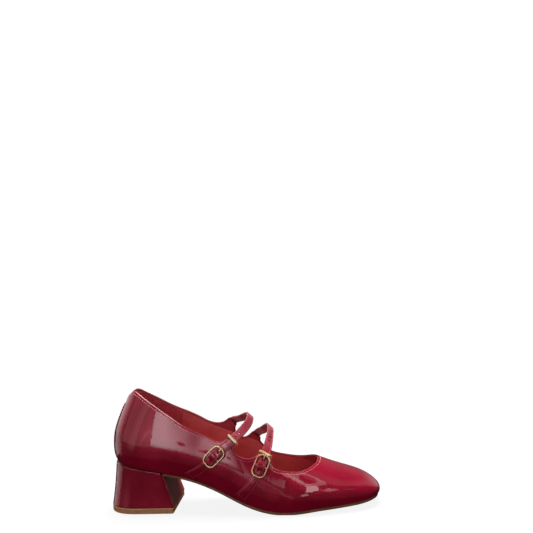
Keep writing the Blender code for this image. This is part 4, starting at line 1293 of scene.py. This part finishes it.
STRAPS = {
    "rear": (
        on_upper(MEDIAL, 101.0, 62.6, 0.4),
        on_upper(MEDIAL, 105.6, 67.2, 0.4),
        on_upper(MEDIAL, 109.9, 71.3, 0.55),
        free(118.8, 12.0, 75.9, 46.0),
        free(128.0, 1.0, 80.8, 46.0),
        free(128.0, -8.5, 76.8, 50.0),
        free(123.6, -18.0, 72.0, 46.0),
        on_upper(LATERAL, 116.8, 66.2, 0.45),
        on_upper(LATERAL, 110.8, 61.5, 0.4),
        on_upper(LATERAL, 105.2, 57.6, 0.4),
    ),
    "front": (
        on_upper(MEDIAL, 125.6, 50.0, 0.4),
        on_upper(MEDIAL, 128.4, 53.8, 0.5),
        on_upper(MEDIAL, 131.0, 57.0, 0.75),
        free(138.6, 12.0, 64.4, 46.0),
        free(145.9, 1.5, 70.0, 46.0),
        free(147.0, -8.5, 65.8, 50.0),
        on_upper(LATERAL, 143.9, 52.8, 0.6),
        on_upper(LATERAL, 143.0, 50.4, 0.4),
    ),
}
# The strap through its buckle: distance from the centre bar towards the keeper, and space
# under the strap.
Pass = namedtuple("Pass", "along lift")
BUCKLE_PASS = (Pass(5.6, 1.5), Pass(2.4, 2.9), Pass(0.0, 3.1), Pass(-2.4, 2.5),
               Pass(-3.8, 1.85), Pass(-4.2, 1.82))
# Route of a chape down the lateral side, from just below the centre bar.
Spot = namedtuple("Spot", "x z")
CHAPES = {
    "rear": (Spot(96.9, 50.0), Spot(91.2, 45.0), Spot(84.0, 39.4), Spot(74.0, 34.0)),
    "front": (Spot(138.9, 41.2), Spot(135.6, 34.8), Spot(130.4, 26.6), Spot(120.2, 15.2)),
}
# Middle of a buckle or keeper and the point that the strap runs towards, seen from the outer
# side.
Fitting = namedtuple("Fitting", "x z aim_x aim_z")
BUCKLES = {"rear": Fitting(98.2, 51.2, 105.0, 57.4), "front": Fitting(139.6, 42.6, 143.2, 50.2)}
KEEPERS = {"rear": Fitting(115.1, 65.0, 118.2, 67.7), "front": Fitting(143.4, 51.7, 145.4, 55.2)}

RIBBON_STEP = 0.8
TIP_STEPS = 14
UNDERSIDE_INSET = 0.6        # of the flat underside, in radii of the folded edge
FACE_INSET = 0.55            # of the face
CROWN = 0.12                 # rise of the face's middle
CROWN_DROP = 0.08            # of the face below the fold's top at the edges
GROOVE_INSET = 1.15          # stitch line from a strap's edge
GROOVE_DEPTH = 0.16
GROOVE_WIDTH = 0.55
RIBBON_PITCH = 2.2           # of the stitches round straps and chapes
RIBBON_STITCH = 1.6
RIBBON_STITCH_LIFT = 0.06
SEWN_END_ROWS = 3            # rows of a chape past its last stitch
BAR_HEIGHT = 2.2             # middle of the buckle's centre bar above the upper
PRONG_HOLE = 5.6             # distance of the hole in use from the centre bar
HOLE_SIZE = 1.6
HOLE_IN_USE_SIZE = 2.6
SPARE_HOLES = (5.0, 35.0, 40.0)  # distances of the other holes from the strap's tip
PUNCH_DEPTH = 6.0


def fitting_frame(fitting):
    """Origin on the upper, long direction, cross direction and normal of a fitting."""
    origin, normal = upper_frame(LATERAL, fitting.x, fitting.z, 0.0)
    along = upper_frame(LATERAL, fitting.aim_x, fitting.aim_z, 0.0)[0] - origin
    along = unit(along - normal * np.dot(along, normal))
    return origin, along, np.cross(along, normal), normal


def strap_rows(place):
    """Rows of middle and normal of a strap, from the inner tab to its tip in the buckle."""
    rows = []
    for knot in STRAPS[place]:
        if knot.side:
            lift = knot.lift + STRAP_THICKNESS / 2
            rows.append(np.concatenate(upper_frame(knot.side, knot.x, knot.z, lift)))
        else:
            upwards, forward = cos_sin(knot.tilt)
            rows.append(np.array((knot.x, knot.y, knot.z, forward, 0.0, upwards)))
    origin, along, _, normal = fitting_frame(BUCKLES[place])
    for spot in BUCKLE_PASS:
        height = spot.lift + STRAP_THICKNESS / 2
        rows.append(np.concatenate((origin + along * spot.along + normal * height, normal)))
    return smooth_path(rows, RIBBON_STEP)


def chape_rows(place):
    """Rows of middle and normal of a chape, from the centre bar down to its sewn end."""
    lift = CHAPE_LIFT + CHAPE_THICKNESS / 2
    return [np.concatenate(upper_frame(LATERAL, x, z, lift))
            for x, z in smooth_path(CHAPES[place], RIBBON_STEP)]


def ribbon_frames(rows):
    """Middle, normal and width direction along a ribbon."""
    frames = []
    for row, ahead in zip(rows, headings([row[:3] for row in rows])):
        normal = unit(row[3:] - ahead * np.dot(row[3:], ahead))
        frames.append((row[:3], normal, np.cross(ahead, normal)))
    return frames


def folded_section(half, thickness):
    """Ring across a ribbon: flat underside, folded round edges and a pressed stitch line.

    Each row is a sideways place, a height and the finish: 0 for the face, 1 for the backing.
    """
    edge = thickness / 2
    flat_half = half - edge * UNDERSIDE_INSET
    ring = [(-flat_half + flat_half * i / 4, -edge, 1) for i in range(9)]
    for cosine, sine in map(cos_sin, (-60, -30, 0, 30, 60)):
        ring.append((half - edge + edge * cosine, edge * sine, 0))
    line = half - GROOVE_INSET
    tops = [half - FACE_INSET, line + GROOVE_WIDTH / 2, line, line - GROOVE_WIDTH / 2,
            line - GROOVE_WIDTH]
    middle = np.linspace(tops[-1], -tops[-1], 9)[1:-1]
    for v in (*tops, *middle, *(-t for t in reversed(tops))):
        depth = GROOVE_DEPTH * math.exp(-((abs(v) - line) / (GROOVE_WIDTH / 2)) ** 2)
        crown = CROWN * (1 - (v / half) ** 2)
        ring.append((v, edge - depth + crown - CROWN_DROP, 0))
    for cosine, sine in map(cos_sin, (120, 150, 180, 210, 240)):
        ring.append((edge - half + edge * cosine, edge * sine, 0))
    return ring


def add_ribbon(kind, place, rows, halves, thickness, finishes, thread):
    """A strap with a round tip or a chape with a square end, and the stitches round it."""
    frames = ribbon_frames(rows)
    stations = [(*frame, half) for frame, half in zip(frames, halves)]
    middle, normal, across = frames[-1]
    ahead = np.cross(normal, across)
    if kind == "strap":
        for i in range(1, TIP_STEPS + 1):
            cosine, sine = cos_sin(90 * i / (TIP_STEPS + 0.5))
            stations.append((middle + ahead * halves[-1] * sine, normal, across,
                             halves[-1] * cosine))
    section = folded_section(halves[0], thickness)
    rings, edges = [], []
    for point, top, side, half in stations:
        shrink = half / halves[0]
        rings.append([point + side * v * shrink + top * h for v, h, _ in section])
        edges += [half - abs(v) * shrink for v, _, _ in section]
    skin = solid(rings)
    kinds = [section[min(face) % len(section)][2] if len(face) == 4 else 0 for face in skin[1]]
    name = "%s_%s" % (kind, place)
    made = piece(name + "_leather", skin, finishes, [name],
                 values={"edge_mm": edges}, kinds=kinds)

    left, right = ([np.concatenate((point + top * thickness / 2
                                    + side * (half - GROOVE_INSET) * way, top))
                    for (point, top, side), half in zip(frames, halves)] for way in (1, -1))
    if kind == "strap":
        radius = halves[-1] - GROOVE_INSET
        end = middle + normal * thickness / 2
        tip = [np.concatenate((end + ahead * radius * sine + across * radius * cosine, normal))
               for cosine, sine in (cos_sin(15 * i) for i in range(1, 12))]
        line = left + tip + right[::-1]
        line += [(line[-1] + line[0]) / 2, line[0]]
    else:
        left, right = left[:-SEWN_END_ROWS], right[:-SEWN_END_ROWS]
        line = left + steps_between(left[-1], right[-1], 8) + right[::-1]
    piece(name + "_stitches", stitches(line, RIBBON_PITCH, RIBBON_STITCH, RIBBON_STITCH_LIFT),
          [thread])
    return made


def hole_spots(place):
    """Middle, direction and size of each hole of a strap."""
    origin, along, _, normal = fitting_frame(BUCKLES[place])
    spots = [(origin + along * PRONG_HOLE + normal * BAR_HEIGHT, normal, HOLE_IN_USE_SIZE)]
    frames = ribbon_frames(strap_rows(place))[::-1]
    travel = STRAP_WIDTH / 2
    spare = list(SPARE_HOLES)
    for near, far in zip(frames, frames[1:]):
        step = np.linalg.norm(far[0] - near[0])
        if spare and travel + step > spare[0]:
            middle = near[0] + (far[0] - near[0]) * (spare.pop(0) - travel) / step
            spots.append((middle, near[1], HOLE_SIZE))
        travel += step
    return spots


def punch(strap, spots):
    """Cut the strap's real holes through."""
    cutters = []
    for middle, direction, size in spots:
        tool = bpy.data.meshes.new("punch")
        built = bmesh.new()
        bmesh.ops.create_cone(built, cap_ends=True, segments=24, depth=PUNCH_DEPTH * MM,
                              radius1=size / 2 * MM, radius2=size / 2 * MM)
        built.to_mesh(tool)
        built.free()
        tool.polygons.foreach_set("material_index", [2] * len(tool.polygons))
        for finish in strap.data.materials:
            tool.materials.append(finish)
        cutter = new_object("punch", tool)
        cutter.rotation_euler = Vector(direction).to_track_quat("Z", "Y").to_euler()
        cutter.location = world(middle)
        strap.modifiers.new("hole", "BOOLEAN").object = cutter
        cutters.append(cutter)
    bpy.context.view_layer.update()
    evaluated = strap.evaluated_get(bpy.context.evaluated_depsgraph_get())
    mesh = bpy.data.meshes.new_from_object(evaluated)
    strap.modifiers.clear()
    strap.data = mesh
    mesh.set_sharp_from_angle(angle=SHARP_ANGLE)
    for cutter in cutters:
        bpy.data.objects.remove(cutter, do_unlink=True)


def add_strap(place):
    """Strap with folded edges, backing, stitching and punched holes."""
    rows = strap_rows(place)
    strap = add_ribbon("strap", place, rows, [STRAP_WIDTH / 2] * len(rows), STRAP_THICKNESS,
                       [STRAP_PATENT, BACKING, RAW_EDGE], THREAD)
    punch(strap, hole_spots(place))


def add_chape(place):
    """Short strap that holds the buckle, sewn down over the upper."""
    rows = chape_rows(place)
    spread = CHAPE_SPREAD[place] - 1
    halves = [CHAPE_WIDTH / 2 * (1 + spread * (i / (len(rows) - 1)) ** 1.5)
              for i in range(len(rows))]
    add_ribbon("chape", place, rows, halves, CHAPE_THICKNESS, [PATENT, BACKING], CHAPE_THREAD)


# ---------------------------------------------------------------- buckles, prongs and keepers

FRAME_LENGTH = 20.5
FRAME_WIDTH = 13.0
FRAME_CORNER = 4.6
FRAME_WIRE = 1.3
FRAME_HEIGHT = 2.9           # middle of the frame's wire above the upper
BAR_WIRE = 1.2
PRONG_WIRE = 1.0
KEEPER_WIDTH = 12.8
KEEPER_WIRE = 1.6
KEEPER_THICKNESS = 1.3
KEEPER_BAND = 2.3            # along the strap
KEEPER_CORNER = 1.6
KEEPER_CLEARANCE = 0.5
WIRE_SPACING = 0.35
CORNER_STEPS = 12


def rounded_loop(middle, across, up, width, height, corner):
    """Closed route round a rectangle with round corners."""
    route = []
    for side_u, side_v, start in ((1, 1, 0), (-1, 1, 90), (-1, -1, 180), (1, -1, 270)):
        for step in range(CORNER_STEPS + 1):
            cosine, sine = cos_sin(start + 90 * step / CORNER_STEPS)
            route.append(middle + across * (side_u * (width / 2 - corner) + corner * cosine)
                         + up * (side_v * (height / 2 - corner) + corner * sine))
    return route


def add_fitting(name, place, suffix, skin):
    """A gold piece of a strap's fastening."""
    piece("%s_%s_%s" % (name, place, suffix), skin, [GOLD], ["%s_%s" % (name, place)])


def add_buckle(place):
    """Wire frame and centre bar in pale gold."""
    origin, along, across, normal = fitting_frame(BUCKLES[place])
    length, width = FRAME_LENGTH - FRAME_WIRE, FRAME_WIDTH - FRAME_WIRE
    route = rounded_loop(origin + normal * FRAME_HEIGHT, along, across, length, width,
                         FRAME_CORNER)
    bar = [origin + normal * BAR_HEIGHT + across * v
           for v in np.linspace(-width / 2, width / 2, 20)]
    add_fitting("buckle", place, "frame", merge([
        tube(route, FRAME_WIRE / 2, normal, closed=True), tube(bar, BAR_WIRE / 2, normal)]))


def add_prong(place):
    """Pin hooked under the centre bar, up through the strap's hole and over the frame."""
    origin, along, across, normal = fitting_frame(BUCKLES[place])
    hook = (BAR_WIRE + PRONG_WIRE) / 2 + TOUCH_GAP
    rest = FRAME_HEIGHT + (FRAME_WIRE + PRONG_WIRE) / 2
    reach = (FRAME_LENGTH - FRAME_WIRE) / 2
    profile = [(hook * cosine, BAR_HEIGHT + hook * sine)
               for cosine, sine in map(cos_sin, (-110, -80, -50, -20))]
    profile += [
        (PRONG_HOLE - 2.0, GAP + CHAPE_THICKNESS),
        (PRONG_HOLE - 1.0, GAP + CHAPE_THICKNESS + 0.1),
        (PRONG_HOLE, BAR_HEIGHT + 0.3),
        (PRONG_HOLE + 0.9, rest - 0.8),
        (PRONG_HOLE + 1.7, rest - 0.1),
        (reach, rest),
        (reach + 0.9, rest - 0.1),
    ]
    route = smooth_path([origin + along * u + normal * height for u, height in profile],
                        WIRE_SPACING)
    add_fitting("prong", place, "pin", tube(route, PRONG_WIRE / 2, across))


def add_keeper(place):
    """Flat gold loop round the strap and the tab under it."""
    origin, along, across, normal = fitting_frame(KEEPERS[place])
    inner = UPPER_WALL + GAP + STRAP_THICKNESS + 2 * KEEPER_CLEARANCE
    route = rounded_loop(origin + normal * (GAP + STRAP_THICKNESS - UPPER_WALL) / 2, across,
                         normal, KEEPER_WIDTH - KEEPER_WIRE, inner + KEEPER_WIRE, KEEPER_CORNER)
    add_fitting("keeper", place, "loop", tube(route, KEEPER_THICKNESS / 2, along, closed=True,
                                              flatten=KEEPER_BAND / KEEPER_THICKNESS))


# ---------------------------------------------------------------- stage

CAMERA_PLACE = (0.09416, -0.76576, 0.24995)
CAMERA_YAW = 4.91            # degrees towards the heel from straight across
CAMERA_PITCH = 2.50          # degrees down
CAMERA_ROLL = 2.51
CAMERA_LENS = 57.39

# Soft panels of the surround, as the gloss sees them.  left and right are azimuths, from the
# toe end round by the camera's side; low and high are heights above the horizon, all in
# degrees.  soft is the width of the edges, fade that of the upper edge and drift that of the
# left edge; strength is the brightness, 1 for white paper.
Panel = namedtuple("Panel", "name left right low high soft fade drift strength")
PANELS = (
    Panel("window_glow", 86.0, 99.8, 1.0, 13.0, 1.0, 8.0, 6.0, 0.12),
    Panel("outer_wall", 99.5, 168.0, 1.5, 40.0, 2.0, 10.0, 1.0, 0.42),
    Panel("outer_glow", 96.0, 225.0, -16.0, 4.0, 8.0, 8.0, 8.0, 0.06),
    Panel("back_window", 187.0, 236.0, -3.0, 26.0, 8.0, 8.0, 12.0, 0.8),
    Panel("heel_glow", 180.0, 222.0, -18.0, -3.0, 4.0, 6.0, 12.0, 0.65),
    Panel("back_streak", 175.5, 178.5, -10.0, 24.0, 1.5, 6.0, 1.5, 0.7),
    Panel("back_line", 183.5, 185.5, -10.0, 24.0, 1.0, 6.0, 1.0, 0.8),
    Panel("edge_lamp", 50.0, 130.0, 64.0, 88.0, 6.0, 3.0, 8.0, 1.5),
    Panel("rear_lamp", 215.0, 250.0, 28.0, 60.0, 6.0, 6.0, 6.0, 1.6),
    Panel("low_wall", 98.0, 112.0, 4.0, 20.0, 3.0, 6.0, 3.0, 0.1),
)
# Window panes in the gloss of the vamp: corners as azimuth and height, in order round.
Pane = namedtuple("Pane", "name corners strength")
PANES = (
    Pane("mauve", ((69, 34.5), (65, 39.7), (57, 45.8), (31, 61.5), (28, 60)), 1.8),
    Pane("middle", ((68.5, 34.9), (57.7, 42.3), (62.5, 31.5), (75, 20.2)), 4.8),
    Pane("foot", ((79, 13), (74.5, 18.5), (75, 13), (80, 8)), 2.5),
    Pane("toe", ((50.5, 40), (58, 29), (61, 29.5), (53, 40.5)), 1.9),
    Pane("waist", ((91.3, 16.2), (85, 22.9), (77, 29), (86.1, 15.3), (89.4, 14.1), (92, 13.8)),
         0.75),
    Pane("waist_side", ((79.5, 27.1), (77, 29), (86.1, 15.3), (88, 14.7)), 0.6),
    Pane("rim", ((74, 37), (60, 42.5), (68, 36.3), (72.5, 33.7)), 2.0),
    Pane("line", ((47, 43), (35, 43), (35, 38.5), (47, 39)), 0.4),
    Pane("sill_left", ((110, 1.5), (100, 7.4), (100, 8.8), (110, 3.2)), 0.5),
    Pane("sill_top", ((100, 7.4), (94.5, 9.6), (94.5, 10.8), (100, 8.8)), 0.5),
    Pane("sill_right", ((94.5, 9.6), (92.2, 7), (91.2, 8.2), (94.5, 10.8)), 0.6),
    Pane("sill_end", ((92.2, 7), (88.4, -0.6), (87.2, 0.2), (91.2, 8.2)), 0.6),
)
PANE_EDGE = 0.6              # softness in degrees
AZIMUTH_RANGE = (270.0, -90.0)
# One long softbox over and behind the shoe: it fills the directions past a straight edge.
SOFTBOX_WAY = (-0.66, 0.42, 0.61)
SOFTBOX_EDGE = (0.0, 0.03)   # along SOFTBOX_WAY, from none to full
SOFTBOX_FADE = (0.15, 0.40)  # from full to SOFTBOX_DIM
SOFTBOX_STRENGTH = 0.39
SOFTBOX_DIM = 0.05
SOFTBOX_FLOOR = (-8.0, 2.0)  # heights between which it rises out of the floor
GLOW_ABOVE = 0.07            # brightness of the rest of the surround above the horizon
GLOW_BELOW = 0.01
GLOW_EDGE = 6.0
GLOW_COLOUR = (1.0, 0.98, 0.96, 1.0)
AMBIENT = 0.25               # even light that the matt colours see from all around
# Glowing card near the quarter, which shows as one upright window in its gloss.
CARD_MIDDLE = Vector((-0.070, -0.200, 0.105))
CARD_AIM = Vector((-0.072, -0.030, 0.098))
CARD_SIZE = {"X": 0.076, "Y": 0.096}
CARD_ROLL = 9.0              # degrees, its top towards the toe
CARD_STRENGTH = 4.3
CARD_COLOUR = (0.66, 0.95, 0.96, 1.0)
# Soft edges of the card, in shares of its size along an axis.
Fade = namedtuple("Fade", "axis start end")
CARD_FADES = (Fade("X", -0.50, 0.10), Fade("X", 0.50, 0.44), Fade("Y", -0.50, -0.34),
              Fade("Y", 0.50, 0.40))
CARD_SPOT = (-0.0120, -0.0195)   # middle of its dark spot
CARD_SPOT_RADII = (0.0040, 0.0034)
CARD_SPOT_EDGE = (0.75, 1.25)    # in radii, from dark to bright

# Lamps that light the shoe without showing in its gloss; metres and watts.
Lamp = namedtuple("Lamp", "name x y z size power")
LAMPS = (
    Lamp("key", 0.05, 0.35, 1.25, 0.9, 46.0),
    Lamp("fill", -0.25, -1.45, 0.22, 0.8, 5.6),
    Lamp("rear_fill", 0.10, 1.50, 0.60, 0.8, 3.0),
)
LAMP_AIM = Vector((0.0, 0.0, 0.04))

FLOOR_REACH = 4.0
FLOOR_GREY = (0.58, 0.58, 0.58, 1.0)
FLOOR_PALE = (0.60, 0.60, 0.60, 1.0)
FLOOR_STRETCH = (1.0, 1.3, 0.0)  # it turns white sooner across the shoe than along it
FLOOR_GLOW = 0.88            # share of the glow under the shoe
FLOOR_NEAR = 0.16            # distance in metres from which the glow grows
FLOOR_FAR = 0.45             # and beyond which it is full


def add_camera():
    """Camera on the outer side, a little above, and rolled a little."""
    (cos_yaw, sin_yaw), (cos_pitch, sin_pitch), (cos_roll, sin_roll) = map(
        cos_sin, (CAMERA_YAW, CAMERA_PITCH, CAMERA_ROLL))
    ahead = Vector((-sin_yaw * cos_pitch, cos_yaw * cos_pitch, -sin_pitch))
    right = Vector((cos_yaw, sin_yaw, 0.0))
    up = right.cross(ahead)
    turn = Matrix((cos_roll * right - sin_roll * up, sin_roll * right + cos_roll * up, -ahead))
    data = bpy.data.cameras.new("camera")
    data.lens = CAMERA_LENS
    camera = new_object("camera", data)
    camera.matrix_world = Matrix.Translation(CAMERA_PLACE) @ turn.transposed().to_4x4()
    bpy.context.scene.camera = camera


def add_lights():
    """Lamps for the light that leather and lining scatter."""
    for lamp in LAMPS:
        data = bpy.data.lights.new(lamp.name, "AREA")
        data.size = lamp.size
        data.energy = lamp.power
        light = new_object(lamp.name, data)
        light.location = (lamp.x, lamp.y, lamp.z)
        light.rotation_euler = (light.location - LAMP_AIM).to_track_quat("Z", "Y").to_euler()
        light.visible_glossy = False


def add_panels(made, azimuth, height, total):
    """The brightness with the soft panels and the panes added."""
    for panel in PANELS:
        half = panel.soft / 2
        share = made.times(
            made.ramp(height, panel.low - half, panel.low + half),
            made.ramp(height, panel.high + panel.fade / 2, panel.high - panel.fade / 2),
            made.ramp(azimuth, panel.left - panel.drift / 2, panel.left + panel.drift / 2),
            made.ramp(azimuth, panel.right + half, panel.right - half))
        total = made.math("MULTIPLY_ADD", share, panel.strength, total)
    for pane in PANES:
        share = 1.0
        ring = list(zip(pane.corners, pane.corners[1:] + pane.corners[:1]))
        area = sum(u * next_v - v * next_u for (u, v), (next_u, next_v) in ring)
        for (u, v), (next_u, next_v) in ring:
            size = math.copysign(math.hypot(next_u - u, next_v - v), area)
            across, up = (v - next_v) / size, (next_u - u) / size
            past = made.math("MULTIPLY_ADD", azimuth, across, -across * u - up * v)
            past = made.math("MULTIPLY_ADD", height, up, past)
            share = made.times(made.ramp(past, -PANE_EDGE / 2, PANE_EDGE / 2), share)
        total = made.math("MULTIPLY_ADD", share, pane.strength, total)
    return total


def add_softbox(made, place, height, total):
    """The brightness with the long softbox added."""
    reach = made.add("VectorMath", "Value", {0: place, 1: Vector(SOFTBOX_WAY).normalized()},
                     operation="DOT_PRODUCT")
    level = made.math("MULTIPLY_ADD", made.ramp(reach, *SOFTBOX_FADE),
                      SOFTBOX_DIM - SOFTBOX_STRENGTH, SOFTBOX_STRENGTH)
    level = made.times(made.ramp(height, *SOFTBOX_FLOOR), level)
    return made.math("MULTIPLY_ADD", made.ramp(reach, *SOFTBOX_EDGE), level, total)


def add_world():
    """White backdrop, with soft panels that only the gloss sees and even light for the rest."""
    surround = bpy.data.worlds.new("surround")
    surround.use_nodes = True
    made = Nodes(surround.node_tree)
    place = made.add("TexCoord", "Generated", {})
    x, y, z = (made.add("SeparateXYZ", axis, {"Vector": place}) for axis in "XYZ")
    turn = made.math("ARCTAN2", made.times(y, -1.0), x)
    azimuth = made.math("WRAP", made.math("DEGREES", turn), *AZIMUTH_RANGE)
    height = made.math("DEGREES", made.math("ARCSINE", z))
    total = made.math("MULTIPLY_ADD", made.ramp(height, -GLOW_EDGE, GLOW_EDGE),
                      GLOW_ABOVE - GLOW_BELOW, GLOW_BELOW)
    total = add_panels(made, azimuth, height, total)
    total = add_softbox(made, place, height, total)
    glossy = made.add("LightPath", "Is Glossy Ray", {})
    seen = made.math("MULTIPLY_ADD", made.math("SUBTRACT", total, AMBIENT), glossy, AMBIENT)
    glow = made.add("Background", "Background", {"Color": GLOW_COLOUR, "Strength": seen})
    backdrop = made.add("Background", "Background", {"Color": (1.0, 1.0, 1.0, 1.0)})
    camera = made.add("LightPath", "Is Camera Ray", {})
    mix = made.add("MixShader", "Shader", {"Fac": camera, 1: glow, 2: backdrop})
    made.feed(surround.node_tree.nodes["World Output"].inputs["Surface"], mix)
    bpy.context.scene.world = surround
    bpy.context.scene.view_settings.view_transform = "Standard"


def new_plane(name, width, height, finish):
    """A flat rectangle about its own middle."""
    corners = [(side * width / 2, end * height / 2, 0.0)
               for side, end in ((-1, -1), (1, -1), (1, 1), (-1, 1))]
    mesh = bpy.data.meshes.new(name)
    mesh.from_pydata(corners, [], [(0, 1, 2, 3)])
    mesh.materials.append(finish.material)
    made = new_object(name, mesh)
    made.visible_diffuse = False
    return made


def card_finish():
    """Glow that is sharp on the heel side, fades towards the toe, and has a dark spot."""
    made = Finish("bright_card")
    share = None
    for fade in CARD_FADES:
        size = CARD_SIZE[fade.axis]
        edge = made.ramp(made.along(fade.axis), fade.start * size, fade.end * size,
                         CARD_STRENGTH if share is None else 1.0)
        share = edge if share is None else made.times(share, edge)
    scale = [1 / radius for radius in CARD_SPOT_RADII]
    shift = [-middle * size for middle, size in zip(CARD_SPOT, scale)]
    spot = made.add("Mapping", "Vector", {"Vector": made.place, "Location": (*shift, 0.0),
                                          "Scale": (*scale, 0.0)})
    share = made.times(share, made.between(made.length(spot), *CARD_SPOT_EDGE))
    made.surface(made.add("Emission", "Emission", {"Color": CARD_COLOUR, "Strength": share}))
    return made


def add_card():
    """Upright glowing card that only the gloss sees."""
    card = new_plane("card", CARD_SIZE["X"], CARD_SIZE["Y"], card_finish())
    ahead = (CARD_AIM - CARD_MIDDLE).normalized()
    across = Vector((0.0, 0.0, 1.0)).cross(ahead).normalized()
    turn = Matrix((across, ahead.cross(across), ahead)).transposed()
    roll = Matrix.Rotation(math.radians(CARD_ROLL), 4, "Z")
    card.matrix_world = Matrix.Translation(CARD_MIDDLE) @ turn.to_4x4() @ roll
    card.visible_camera = False
    card.visible_shadow = False


def floor_finish():
    """Pale floor, partly matt under the shoe, that turns to even white away from it."""
    made = Finish("studio_floor", rough=0.9, specular=0.1)
    made.paint(FLOOR_GREY)
    made.paint(FLOOR_PALE, made.between(made.noise(60.0, 3.0), 0.3, 0.7))
    reach = made.length(made.stretched(FLOOR_STRETCH))
    share = made.between(reach, FLOOR_NEAR, FLOOR_FAR, FLOOR_GLOW)
    white = made.add("Emission", "Emission", {})
    made.surface(made.add("MixShader", "Shader", {"Fac": share, 1: made.shader.outputs["BSDF"],
                                                  2: white}))
    return made


def add_floor():
    """Pale floor that fades into the backdrop."""
    floor = new_plane("floor", 2 * FLOOR_REACH, 2 * FLOOR_REACH, floor_finish())
    floor.visible_glossy = False


def main():
    """Build the visual shoe and its stage."""
    add_upper()
    add_heel_grip()
    add_back_strip()
    add_thread_row("topline_stitches", inset_line(STITCH_INSET, FINE / 2), 0.0)
    add_outsole()
    add_sock()
    add_heel()
    add_breast_flap()
    add_top_lift()
    for place in ("rear", "front"):
        add_strap(place)
        add_chape(place)
        add_buckle(place)
        add_prong(place)
        add_keeper(place)
    add_camera()
    add_lights()
    add_world()
    add_card()
    add_floor()


main()
